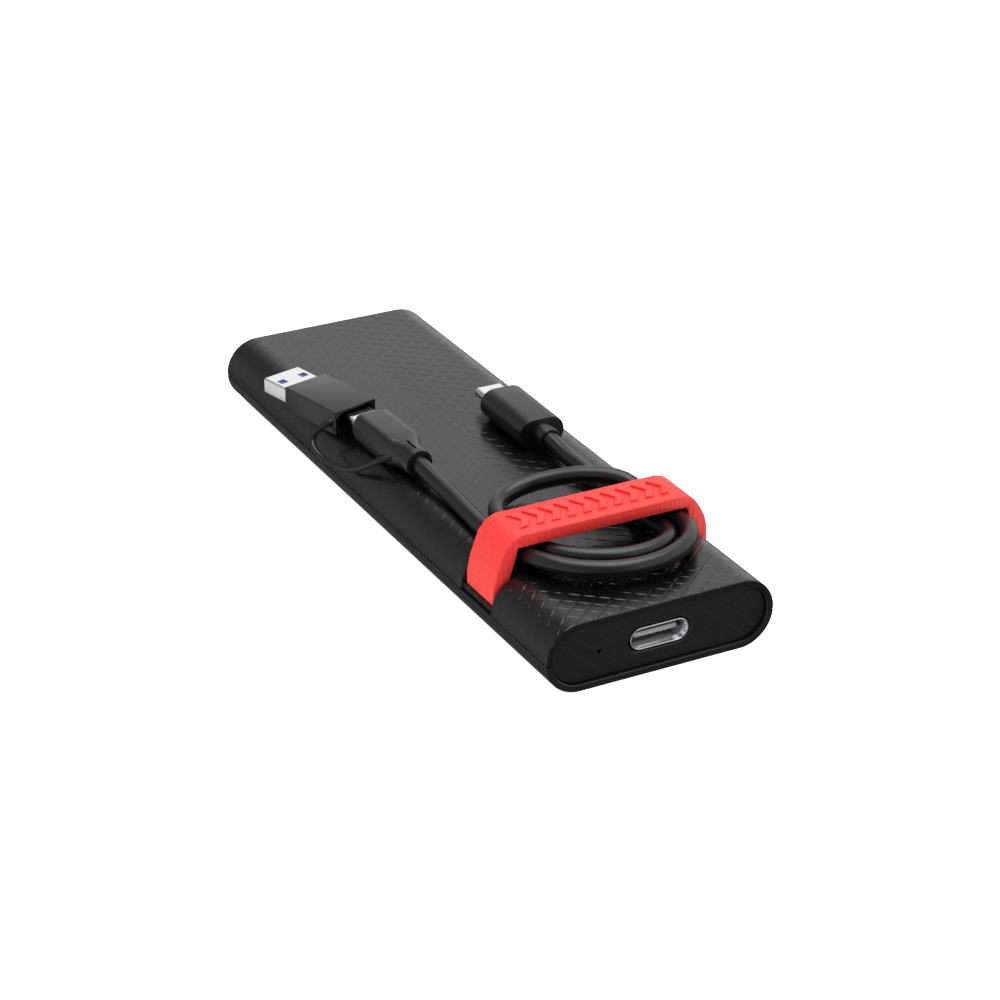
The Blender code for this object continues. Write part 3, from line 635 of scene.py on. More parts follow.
def relief_sheet(reach, low_y, high_y, width, rows, apex, groove):
    """A flat sheet divided along the diamonds' lines, with more lines on each side of every groove."""
    pitch = (high_y - low_y) / rows
    # The second line beside each groove keeps the tiles flat up to its edge.
    shares = (0.0, groove, 2 * groove, 0.5, 1.0 - 2 * groove, 1.0 - groove)
    most = math.ceil((reach + abs(apex)) / width + rows / 2) + 2
    lines = [k + share for k in range(-most, most) for share in shares]
    sheet = bmesh.new()
    points = {}
    middle = (low_y + high_y) / 2
    margin_u, margin_y = reach + 0.6 * width, (high_y - low_y) / 2 + 0.6 * pitch

    def place(i, j):
        a, b = lines[i], lines[j]
        return apex + (a - b) / 2 * width, middle + (a + b) / 2 * pitch

    def at(i, j):
        if (i, j) not in points:
            points[i, j] = sheet.verts.new((*place(i, j), 0.0))
        return points[i, j]

    for i in range(len(lines) - 1):
        for j in range(len(lines) - 1):
            u, y = place(i, j)
            if abs(u) < margin_u and abs(y - middle) < margin_y:
                sheet.faces.new((at(i, j), at(i + 1, j), at(i + 1, j + 1), at(i, j + 1)))
    return sheet


def split(sheet, point, normal, keep=None, where=None):
    """Cuts a sheet along a line. keep drops what lies beyond it, and where limits the cut to some faces."""
    geometry = [*sheet.verts, *sheet.edges, *sheet.faces]
    if where:
        faces = [f for f in sheet.faces if where(f.calc_center_median())]
        bounds = [*(e for f in faces for e in f.edges), *(v for f in faces for v in f.verts)]
        geometry = dict.fromkeys([*faces, *bounds])
    place, beyond = (*point, 0.0), (*normal, 0.0)
    bmesh.ops.bisect_plane(
        sheet, geom=list(geometry), dist=1e-8, plane_co=place, plane_no=beyond, clear_outer=bool(keep)
    )


def relief_depth(settings, u, y):
    """Depth of the moulded relief: two families of grooves, strongest where they make the chevrons."""
    pitch = (REAR_Y - FRONT_Y) / settings.diamond_rows
    run = (y - (FRONT_Y + REAR_Y) / 2) / pitch
    turn = (u - settings.apex_x) / settings.diamond_width
    # Both families show near the front end and on the flanks.
    near = 1 - smoothstep(y, FRONT_Y + 6 * MM, FRONT_Y + 24 * MM)
    flank = smoothstep(abs(u), FLAT_REACH, FLAT_REACH + 3 * MM)
    right = smoothstep(u - settings.apex_x, -1.6 * MM, 1.6 * MM)
    total = 0.0
    for along, across, strong in ((run + turn, run - turn, right), (run - turn, run + turn, 1 - right)):
        share, other = along - math.floor(along), across - math.floor(across)
        gap = min(share, 1 - share)
        dash = 0.3 + 0.7 * smoothstep(1 - abs(2 * other - 1), 0.15, 0.75)
        weight = max(0.14 + 0.86 * strong, near, 0.6 * flank)
        total += settings.groove_depth * weight * dash * max(0.0, 1 - gap / settings.groove_half)
        lean = (0.5 - share) * min(1.0, gap / settings.groove_half)
        total += settings.tile_tilt * strong * (1 - 0.5 * near) * (lean + 0.5)
    return total


class DRIVE_OT_upper_shell(bpy.types.Operator):
    """Builds the textured upper shell, with the recesses that take the strap's legs"""

    bl_idname = "drive.upper_shell"
    bl_label = "Upper Shell"

    def execute(self, context):
        settings = context.scene.drive_shell
        half = HalfShell(1, settings)
        diamonds = (settings.diamond_width, settings.diamond_rows, settings.apex_x, settings.groove_half)
        sheet = relief_sheet(half.reach, FRONT_Y, REAR_Y, *diamonds)
        for side in (-1, 1):
            split(sheet, (side * half.reach, 0.0), (side, 0.0), keep=True)
            for u in (half.reach - half.edge_round, half.reach - 0.3 * half.edge_round, FLAT_REACH):
                split(sheet, (side * u, 0.0), (side, 0.0))
            end = FRONT_Y if side < 0 else REAR_Y
            split(sheet, (0.0, end), (0.0, side), keep=True)
            for share in ROUND_STOPS[:0:-1]:
                split(sheet, (0.0, end - side * share * half.end_round), (0.0, side))

        # The edge that the strap's leg rubs is rounded over.
        edge, around = 0.45 * MM, 3 * MM
        recess_u = FLAT_REACH + FLANK_RADIUS * math.asin((RECESS_EDGE_X - FLAT_REACH) / FLANK_RADIUS)

        def near_recess(point):
            beside = RECESS_FRONT_Y - around < point.y < RECESS_REAR_Y + around
            return beside and abs(point.x) > recess_u - around

        for share in ROUND_STOPS:
            split(sheet, (0.0, RECESS_FRONT_Y - share * edge), (0.0, 1.0), where=near_recess)
            split(sheet, (0.0, RECESS_REAR_Y + share * edge), (0.0, 1.0), where=near_recess)
            for side in (-1, 1):
                split(sheet, (side * (recess_u - share * edge), 0.0), (1.0, 0.0), where=near_recess)

        def drop(u, y):
            out = max(recess_u - abs(u), 0.0)
            along = max(RECESS_FRONT_Y - y, y - RECESS_REAR_Y, 0.0)
            return relief_depth(settings, u, y) + rounding(math.hypot(out, along), edge)

        shape = half.close(sheet, drop, STRAP_CAVITY_X)
        piece = new_piece("upper_shell_textured", shape, smooth=18)
        top_z = MID_Z + FLANK_RADIUS
        for side in (-1, 1):
            outer = side * (BODY_WIDTH / 2 + 2 * MM)
            recess = [
                (side * RECESS_X, LEDGE_Z),
                (outer, LEDGE_Z),
                (outer, top_z + 1 * MM),
                (side * (RECESS_X - 0.4 * MM), top_z + 1 * MM),
                (side * RECESS_X, top_z - 1.1 * MM),
            ]
            carve(piece, loft("recess_cutter", [(RECESS_FRONT_Y, recess), (RECESS_REAR_Y, recess)]))
            inner, outer = sorted((side * 12 * MM, side * (RECESS_X + 0.5 * MM)))
            low, high = (inner, RECESS_FRONT_Y, PARTING_Z - 1 * MM), (outer, RECESS_REAR_Y, 7.0 * MM)
            carve_box(piece, low, high)
        smooth_by_angle(piece, 18)
        made = shared("abs_moulded_textured_black", moulded_abs, settings.upper_colour, 0.24)
        put(piece, made, "textured_black", ["upper_shell"])
        return {"FINISHED"}


class DRIVE_OT_lower_shell(bpy.types.Operator):
    """Builds the plain lower shell"""

    bl_idname = "drive.lower_shell"
    bl_label = "Lower Shell"

    def execute(self, context):
        settings = context.scene.drive_shell
        half = HalfShell(-1, settings)
        steps = 18
        across = {half.reach - half.edge_round * share for share in ROUND_STOPS}
        across |= {FLAT_REACH + (half.reach - FLAT_REACH) * i / steps for i in range(steps)}
        across = sorted({*across, *(-u for u in across)})
        inward = [share * half.end_round for share in ROUND_STOPS]
        along = [FRONT_Y + run for run in inward] + [REAR_Y - run for run in reversed(inward)]
        sheet = bmesh.new()
        skin(sheet, [[sheet.verts.new((u, y, 0.0)) for u in across] for y in along], closed=False)
        piece = new_piece("lower_shell_plain", half.close(sheet, lambda u, y: 0.0), smooth=30)
        made = shared("abs_moulded_plain_black", moulded_abs, settings.lower_colour, 0.26)
        put(piece, made, "plain_black", ["lower_shell"])
        return {"FINISHED"}


class DRIVE_OT_end_plates(bpy.types.Operator):
    """Builds the two recessed end plates, and cuts the port and the lamp's hole in the front one"""

    bl_idname = "drive.end_plates"
    bl_label = "End Plates"

    def execute(self, context):
        settings = context.scene.drive_shell
        made = shared("abs_moulded_end_black", moulded_abs, settings.plate_colour, 0.36)
        margin = 2 * (BODY_WALL + 0.04 * MM)
        half_width, half_height = BODY_WIDTH / 2, BODY_HEIGHT / 2
        row = BODY_HEIGHT / PLATE_DIAMOND_ROWS

        def outline_at(inset):
            return raised(
                stadium(BODY_WIDTH - margin - 2 * inset, BODY_HEIGHT - margin - 2 * inset, 24), MID_Z
            )

        ends = (("front_end_plate", PLATE_FRONT_Y, 1), ("rear_end_plate", PLATE_REAR_Y, -1))
        for node, face_y, sign in ends:
            # A slab with shallow slanting grooves, trimmed to the rounded outline.
            diamonds = (DIAMOND_WIDTH, PLATE_DIAMOND_ROWS, 0.0, GROOVE_SHARE)
            sheet = relief_sheet(half_width, -half_height, half_height, *diamonds)
            for side in (-1, 1):
                split(sheet, (side * half_width, 0.0), (side, 0.0), keep=True)
                split(sheet, (0.0, side * half_height), (0.0, side), keep=True)
            bmesh.ops.remove_doubles(sheet, verts=sheet.verts, dist=1e-7)
            for v in sheet.verts:
                u, w = v.co.x, v.co.y
                line = u / DIAMOND_WIDTH + w / row
                gap = abs(line - round(line))
                depth = 0.025 * MM * max(0.0, 1 - gap / GROOVE_SHARE)
                v.co = (u, face_y + sign * depth, MID_Z + w)
            back = bmesh.ops.extrude_face_region(sheet, geom=list(sheet.faces))
            for v in (g for g in back["geom"] if isinstance(g, bmesh.types.BMVert)):
                v.co.y = face_y + sign * PLATE_DEPTH
            plate = new_piece(node + "_grooved", sheet, smooth=20)
            low, high = sorted((face_y - 0.05 * MM, face_y + sign * PLATE_DEPTH - 0.05 * MM))
            trim = rounded_ends(outline_at, low, high, 0.2 * MM, 0.2 * MM, 3)
            carve(plate, loft("plate_outline", trim), "INTERSECT")
            if node == "front_end_plate":
                width, height = PORT_HIGH.x - PORT_LOW.x, PORT_HIGH.z - PORT_LOW.z

                def hole_at(more):
                    return raised(stadium(width + more, height + more), (PORT_LOW.z + PORT_HIGH.z) / 2)

                wide, close = 0.8 * MM, 0.5 * MM
                flared = ((-1.0, wide), (-0.01, wide), (0.15, close), (3.0, close))
                port = stepped(hole_at, *((face_y + y * MM, more) for y, more in flared))
                carve(plate, loft("port_cutter", port))
                lamp_x = (LAMP_LOW.x + LAMP_HIGH.x) / 2 + 0.35 * MM
                pin = [(x + lamp_x, z + 4.95 * MM) for x, z in circle(0.32 * MM, 24)]
                carve(plate, loft("lamp_cutter", [(face_y - 1 * MM, pin), (face_y + 3 * MM, pin)]))
            smooth_by_angle(plate, 20)
            put(plate, made, "end_black", [node])
        return {"FINISHED"}


# ---------------------------------------------------------------- strap


class DRIVE_OT_strap(bpy.types.Operator):
    """Builds the elastic strap, with a row of raised chevrons along its top"""

    bl_idname = "drive.strap"
    bl_label = "Strap"

    def execute(self, context):
        settings = context.scene.drive_strap
        top = STRAP_HIGH.z
        under = top - STRAP_THICK
        foot = [
            (STRAP_HIGH.x, LEDGE_Z + 0.02 * MM),
            (14.2 * MM, LEDGE_Z + 0.02 * MM),
            (14.2 * MM, STRAP_LOW.z),
            (12.6 * MM, STRAP_LOW.z),
            (12.6 * MM, 6.6 * MM),
            (14.35 * MM, 6.6 * MM),
            (14.35 * MM, 8.6 * MM),
            (14.15 * MM, 9.6 * MM),
        ]
        # The right side is fuller, where the crossing cable pushes the strap out.
        right = [
            (12.6 * MM, top),
            (13.9 * MM, top - 0.35 * MM),
            (14.7 * MM, top - 1.0 * MM),
            (15.6 * MM, 13.4 * MM),
            (16.35 * MM, 11.9 * MM),
            (16.75 * MM, 10.4 * MM),
            (STRAP_HIGH.x, 8.0 * MM),
            *foot,
            (13.95 * MM, 11.4 * MM),
            (13.4 * MM, under),
        ]
        left = [
            (12.6 * MM, top),
            (13.9 * MM, top - 0.6 * MM),
            (15.0 * MM, top - 1.8 * MM),
            (16.3 * MM, 10.4 * MM),
            (STRAP_HIGH.x, 8.0 * MM),
            *foot,
            (13.55 * MM, 11.4 * MM),
            (12.9 * MM, under),
        ]
        outline = right + [(-x, z) for x, z in reversed(left)]
        band = loft("strap_band", [(STRAP_LOW.y, outline), (STRAP_HIGH.y, outline)], smooth=24)
        soften(band, settings.edge_round, segments=3, angle=50)
        smooth_by_angle(band, 24)
        made = shared("silicone_moulded_coral", woven_silicone, settings.colour, settings.weave_pitch)
        put(band, made, "coral_silicone", ["strap"])

        marks = bmesh.new()
        middle = (STRAP_LOW.y + STRAP_HIGH.y) / 2
        low_x, high_x = -11.7 * MM, 12.6 * MM
        pitch = (high_x - low_x) / settings.mark_count
        tall, stroke, lean = 2.1 * MM, 1.3 * MM, 1.15 * MM
        levels = ((-0.06 * MM, 0.0), *((settings.mark_height * share, inset) for share, inset in MARK_STEPS))
        for k in range(settings.mark_count):
            x = low_x + (k + 0.5) * pitch + lean / 2
            rings = []
            for level, inset in levels:
                half, high = stroke / 2 - inset, tall - inset
                near_side = [(x - lean - half, -high), (x - lean + half, -high), (x + half, 0.0)]
                far_side = [(x - lean + half, high), (x - lean - half, high), (x - half, 0.0)]
                corners = near_side + far_side
                rings.append([marks.verts.new((px, middle + py, top + level)) for px, py in corners])
            skin(marks, rings)
            for ring in (rings[0], rings[-1]):
                marks.faces.new((ring[0], ring[1], ring[2], ring[5]))
                marks.faces.new((ring[5], ring[2], ring[3], ring[4]))
        put(new_piece("strap_chevrons", marks, smooth=20), made, "coral_silicone")
        return {"FINISHED"}


# ---------------------------------------------------------------- port


class DRIVE_OT_port(bpy.types.Operator):
    """Builds the port's metal collar, its tongue and the contacts on it"""

    bl_idname = "drive.port"
    bl_label = "Port"

    def execute(self, context):
        width, height = PORT_HIGH.x - PORT_LOW.x, PORT_HIGH.z - PORT_LOW.z
        front, back = PORT_LOW.y, PORT_HIGH.y
        wall, rim = 0.2 * MM, 0.05 * MM

        def ring(inset):
            return raised(stadium(width - 2 * inset, height - 2 * inset), (PORT_LOW.z + PORT_HIGH.z) / 2)

        outside = ((back, 0.0), (front + rim, 0.0), (front, rim))
        inside = ((front, wall - rim), (front + rim, wall), (back - 0.4 * MM, wall))
        collar = loft("port_collar", stepped(ring, *outside, *inside), smooth=50)
        put(collar, nickel(context.scene.drive_cable), "nickel", ["port_shell"])

        low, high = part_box("port_tongue")

        def tongue_at(inset):
            section = rounded_rectangle(high.x - low.x - 2 * inset, high.z - low.z - 2 * inset, 0.12 * MM)
            return raised(section, (low.z + high.z) / 2)

        sections = rounded_ends(tongue_at, low.y, high.y, 0.12 * MM, 0.02 * MM, 3)
        grey = shared("nylon_moulded_grey", moulded_abs, linear("8d8f90"), 0.4)
        put(loft("port_tongue_moulded", sections), grey, "green_board", ["port_tongue"])

        contacts = bmesh.new()
        for face_z, sign in ((high.z, 1), (low.z, -1)):
            heights = sorted((face_z - sign * 0.03 * MM, face_z + sign * 0.04 * MM))
            contact_row(contacts, 12, 0.5 * MM, 0.13 * MM, low.y + 1.2 * MM, low.y + 3.2 * MM, *heights)
        put(new_piece("port_contacts", contacts), gold())
        return {"FINISHED"}


# ---------------------------------------------------------------- plugs


def grip_at(inset):
    """Outline of both plugs' grips."""
    return stadium(PLUG_WIDTH - 2 * inset, PLUG_HEIGHT - 2 * inset)


def build_tip(name, matrix, settings, width=5.0 * MM, length=5.0 * MM):
    """A plug's metal tip: a seamless flattened tube with a rounded mouth and contact blades inside."""
    height, wall = 1.4 * MM, 0.28 * MM

    def ring(inset):
        return stadium(width - 2 * inset, height - 2 * inset, 16)

    end = JOIN_GAP + length
    outside = ((0.3, 0.0), (0.12, 0.05), (0.02, 0.15), (0.0, 0.2))
    mouth = ((end - back * MM, inset * MM) for back, inset in outside)
    inside = ((end - 0.05 * MM, wall), (end - 3.4 * MM, wall))
    tip = loft(name + "_shell", stepped(ring, (JOIN_GAP - 0.25 * MM, 0.0), *mouth, *inside), smooth=40)
    put(tip, nickel(settings), "nickel", [name + "_tip"], "cable_set", matrix)
    blades = bmesh.new()
    for sign in (-1, 1):
        heights = sorted((sign * 0.22 * MM, sign * 0.34 * MM))
        contact_row(blades, 12, 0.32 * MM, 0.09 * MM, end - 3.5 * MM, end - 0.5 * MM, *heights)
    put(new_piece(name + "_contacts", blades), gold(), body="cable_set", matrix=matrix)


class DRIVE_OT_right_plug(bpy.types.Operator):
    """Builds the free plug: its grip, round neck and metal tip"""

    bl_idname = "drive.right_plug"
    bl_label = "Right Plug"

    def execute(self, context):
        settings = context.scene.drive_cable
        matrix = place_from("right_plug_tip", RIGHT_YAW, TIP_HALF)
        base = -RIGHT_LENGTH
        grip = loft("right_plug_grip", rounded_ends(grip_at, base, 0.0, 0.12 * MM, 0.2 * MM), smooth=40)
        rubber = grip_rubber(settings)
        put(grip, rubber, "plug_black", ["right_plug_body"], "cable_set", matrix)

        outer = 1.7 * MM
        inner = settings.diameter / 2 + 0.02 * MM
        end = base - JOIN_GAP - RIGHT_NECK_LENGTH
        profile = [
            (base + 0.05 * MM, outer),
            (end + 0.1 * MM, outer),
            (end + 0.03 * MM, outer - 0.03 * MM),
            (end, outer - 0.1 * MM),
            (end, inner + 0.05 * MM),
            (end + 0.05 * MM, inner),
            (end + 1.3 * MM, inner),
        ]
        neck = loft("right_plug_neck_round", stepped(circle, *profile), smooth=40)
        put(neck, rubber, "plug_black", ["right_plug_neck"], "cable_set", matrix)
        build_tip("right_plug", matrix, settings, 4.7 * MM, 4.3 * MM)
        return {"FINISHED"}


class DRIVE_OT_left_plug(bpy.types.Operator):
    """Builds the plug that sits in the adapter: a wide grip that narrows to a slotted strain relief"""

    bl_idname = "drive.left_plug"
    bl_label = "Left Plug"

    def execute(self, context):
        settings = context.scene.drive_cable
        matrix = place_from("left_plug_tip", LEFT_YAW, TIP_HALF)
        neck, end = 4.2 * MM, -LEFT_LENGTH
        hole = settings.diameter + 0.04 * MM

        def round_at(diameter):
            return stadium(diameter + 1e-6, diameter)

        relief = [
            (end + 1.3 * MM, hole),
            (end + 0.05 * MM, hole),
            (end, hole + 0.1 * MM),
            (end, neck - 0.16 * MM),
            (end + 0.03 * MM, neck - 0.05 * MM),
            (end + 0.1 * MM, neck),
        ]
        # Distance from the end, width and height of the waist, in millimetres
        waist = [
            (2.0, 4.22, 4.2),
            (2.8, 4.38, 4.23),
            (3.5, 4.7, 4.3),
            (4.2, 5.15, 4.38),
            (4.8, 5.7, 4.46),
            (5.4, 6.3, 4.53),
            (6.0, 6.85, 4.58),
            (6.5, 7.2, 4.6),
            (7.0, 7.36, 4.6),
            (7.5, 7.4, 4.6),
        ]
        sections = stepped(round_at, *relief)
        sections += [(end + y * MM, stadium(width * MM + 1e-6, height * MM)) for y, width, height in waist]
        sections += [s for s in rounded_ends(grip_at, end, 0.0, 0.1 * MM, 0.2 * MM) if s[0] > -1 * MM]
        # The grip's left side is a little flatter than its right.
        sections = [
            (y, [(x + LEFT_SIDE_TRIM * smoothstep(-x, neck / 2, PLUG_WIDTH / 2), z) for x, z in outline])
            for y, outline in sections
        ]
        grip = loft("left_plug_grip", sections, smooth=40)
        half, deep = 0.18 * MM, neck / 2
        for side, top in ((1, 0), (0, 1), (0, -1)):
            middle = (side * deep * 1.2, top * deep * 1.2)
            reach = (deep * 0.42 if side else half, deep * 0.42 if top else half)
            low, high = ([m + way * r for m, r in zip(middle, reach)] for way in (-1, 1))
            carve_box(grip, (low[0], end + 1.15 * MM, low[1]), (high[0], end + 3.8 * MM, high[1]))
        smooth_by_angle(grip, 40)
        put(grip, grip_rubber(settings), "plug_black", ["left_plug_body"], "cable_set", matrix)
        build_tip("left_plug", matrix, settings)
        return {"FINISHED"}


class DRIVE_OT_adapter(bpy.types.Operator):
    """Builds the adapter on the left plug, with its socket and its wide metal plug"""

    bl_idname = "drive.adapter"
    bl_label = "Adapter"

    def execute(self, context):
        settings = context.scene.drive_cable
        ride = {"body": "adapter", "matrix": place_from("adapter_body", ADAPTER_YAW, ADAPTER_LENGTH / 2)}

        def body_at(inset):
            return rounded_rectangle(7.6 * MM - 2 * inset, 3.7 * MM - 2 * inset, 0.14 * MM, 4)

        sections = rounded_ends(body_at, 0.0, ADAPTER_LENGTH, 0.06 * MM, 0.1 * MM, 3)
        body = loft("adapter_case", sections, smooth=30)
        pocket = raised(stadium(6.9 * MM, 2.8 * MM), SOCKET_RISE)
        carve(body, loft("pocket_cutter", [(-1 * MM, pocket), (5.1 * MM, pocket)]))
        black = shared("abs_moulded_plug_black", moulded_abs, settings.plug_colour, 0.26)
        put(body, black, "plug_black", ["adapter_body"], **ride)

        def sleeve_at(inset):
            return raised(stadium(6.8 * MM - 2 * inset, 2.7 * MM - 2 * inset), SOCKET_RISE)

        # Place along the adapter and inset of the sleeve, in millimetres
        profile = ((4.5, 0.0), (0.12, 0.0), (0.05, 0.05), (0.05, 0.15), (0.12, 0.2), (4.1, 0.2))
        sections = stepped(sleeve_at, *((y * MM, inset * MM) for y, inset in profile))
        # Painted shade: the sleeve's steel is coloured dark grey to stand for the shade inside the socket's
        # opening.
        dark = shared("steel_black_oxide", drawn_metal, linear("3a3a3c"), 0.4, 1)
        put(loft("adapter_sleeve", sections, smooth=40), dark, "nickel", ["adapter_socket"], **ride)

        width, height, wall = 6.64 * MM, 2.42 * MM, 0.25 * MM
        low, high = ADAPTER_LENGTH - 0.1 * MM, ADAPTER_LENGTH + 5.8 * MM

        def shell_at(inset):
            radius = max(0.06 * MM, 0.3 * MM - inset)
            return rounded_rectangle(width - 2 * inset, height - 2 * inset, radius, 4)

        outside = ((low, 0.0), (high - 0.08 * MM, 0.0), (high, 0.08 * MM))
        inside = ((high, wall - 0.05 * MM), (high - 0.05 * MM, wall), (low + 0.7 * MM, wall))
        shell = loft("wide_plug_case", stepped(shell_at, *outside, *inside), smooth=40)
        window = (ADAPTER_LENGTH + 2.3 * MM, ADAPTER_LENGTH + 3.6 * MM)
        for x in (-1.95 * MM, 1.95 * MM):
            for z in (0.0, -height):
                carve_box(shell, (x - 0.65 * MM, window[0], z), (x + 0.65 * MM, window[1], z + height))
        smooth_by_angle(shell, 40)
        put(shell, nickel(settings), "nickel", ["wide_plug_shell"], **ride)

        half_x, half_z = width / 2 - wall, height / 2 - wall

        def insulator_at(inset):
            section = (2 * half_x - 0.2 * MM - 2 * inset, half_z - 2 * inset, 0.08 * MM)
            return raised(rounded_rectangle(*section), half_z / 2 - 0.03 * MM)

        sections = rounded_ends(insulator_at, low + 0.8 * MM, high - 0.3 * MM, 0.05 * MM, 0.12 * MM, 3)
        blue = shared("pbt_moulded_blue", moulded_abs, settings.blue_colour, 0.42)
        put(loft("wide_plug_tongue", sections), blue, "blue_insulator", ["wide_plug_insulator"], **ride)

        contacts = bmesh.new()
        heights = (-0.11 * MM, 0.0)
        contact_row(contacts, 4, 1.45 * MM, 0.3 * MM, high - 3.6 * MM, high - 0.7 * MM, *heights)
        put(new_piece("wide_plug_contacts", contacts), gold(), **ride)
        return {"FINISHED"}


# ---------------------------------------------------------------- cable and tether


class DRIVE_OT_cable(bpy.types.Operator):
    """Builds the cable that runs in loops from the left plug to the right one"""

    bl_idname = "drive.cable"
    bl_label = "Cable"

    def execute(self, context):
        settings = context.scene.drive_cable
        points = smooth_points(CABLE_ROUTE, 1.2 * MM)
        # Each end goes a little way into its plug's neck.
        inside = 0.9 * MM
        first = points[0] + (points[0] - points[1]).normalized() * inside
        last = points[-1] + (points[-1] - points[-2]).normalized() * inside
        points = [first, *points, last]
        length = sum((b - a).length for a, b in zip(points, points[1:]))
        curve = bpy.data.curves.new("cable_jacket", "CURVE")
        curve.dimensions = "3D"
        curve.bevel_depth = settings.diameter / 2
        curve.bevel_resolution = 6
        curve.use_fill_caps = True
        spline = curve.splines.new("POLY")
        spline.points.add(len(points) - 1)
        for slot, point in zip(spline.points, points):
            slot.co = (*point, 1.0)
        spline.use_smooth = True
        cable = bpy.data.objects.new("cable_jacket", curve)
        context.scene.collection.objects.link(cable)
        made = shared("rubber_extruded_black", extruded_jacket, settings.jacket_colour)
        put(cable, made, "cable_black", ["cable"], "cable_set")
        return {"FINISHED"}


class DRIVE_OT_tether(bpy.types.Operator):
    """Builds the moulded tether that keeps the adapter with the left plug"""

    bl_idname = "drive.tether"
    bl_label = "Tether"

    def execute(self, context):
        settings = context.scene.drive_cable
        points = smooth_points(TETHER_ROUTE, 0.5 * MM)
        radius = settings.tether_diameter / 2
        shape = bmesh.new()
        rings = []
        last = len(points) - 1
        side = (points[1] - points[0]).cross(Vector((0.0, 0.0, 1.0)))
        for k, point in enumerate(points):
            ahead = (points[min(k + 1, last)] - points[max(k - 1, 0)]).normalized()
            side = (side - ahead * side.dot(ahead)).normalized()
            # The tether flares where it joins the adapter, and widens a little at the plug.
            tall = radius * (1 + 0.4 * smoothstep(-k, -4, 0))
            wide = tall * (1 + 0.15 * smoothstep(k, last - 7, last))
            up = side.cross(ahead)
            turned = [point + side * wide * x + up * tall * z for x, z in circle(1.0, 16)]
            rings.append([shape.verts.new(place) for place in turned])
        skin(shape, rings)
        shape.faces.new(rings[0])
        shape.faces.new(rings[-1])
        tether = new_piece("tether_moulded", shape, smooth=50)
        finish_with(tether, shared("rubber_extruded_black", extruded_jacket, settings.jacket_colour))
        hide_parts("tether")
        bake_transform(tether)
        return {"FINISHED"}


# ---------------------------------------------------------------- inside


class DRIVE_OT_inside(bpy.types.Operator):
    """Gives the tray, boards, packages and fasteners inside the enclosure their finishes"""

    bl_idname = "drive.inside"
    bl_label = "Inside"

    def execute(self, context):
        board = shared("circuit_board_solder_mask", solder_mask, linear("1f6b3a"))
        chip = shared("epoxy_moulded_black", moulded_abs, linear("1b1c1e"), 0.4)
        tray = shared("aluminium_brushed", drawn_metal, linear("a9adb2"), 0.38, 1)
        zinc = shared("steel_zinc_plated", drawn_metal, linear("b9bcc0"), 0.35, 2)
        brass = shared("brass_turned", drawn_metal, linear("b58f45"), 0.33, 2)
        pad = shared("silicone_pad_grey", moulded_rubber, linear("8f98a3"), 0.8)
        lamp = shared("polycarbonate_clear", clear_polycarbonate, linear("dfe6ea"))
        connector = shared("nylon_moulded_black", moulded_abs, linear("19191a"), 0.5)
        for made, *names in (
            (tray, "base_tray", "strap_bar_left", "strap_bar_right"),
            (board, "bridge_board", "drive_board"),
            (zinc, "board_screw_left", "board_screw_right", "drive_screw"),
            (chip, "bridge_chip", "drive_controller", "drive_memory"),
            (chip, "flash_package_front", "flash_package_rear"),
            (pad, "thermal_pad"),
            (lamp, "status_lamp"),
            (connector, "drive_connector"),
            (brass, "standoff"),
        ):
            for name in names:
                finish_with(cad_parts[name], made)
        return {"FINISHED"}


# ---------------------------------------------------------------- stage


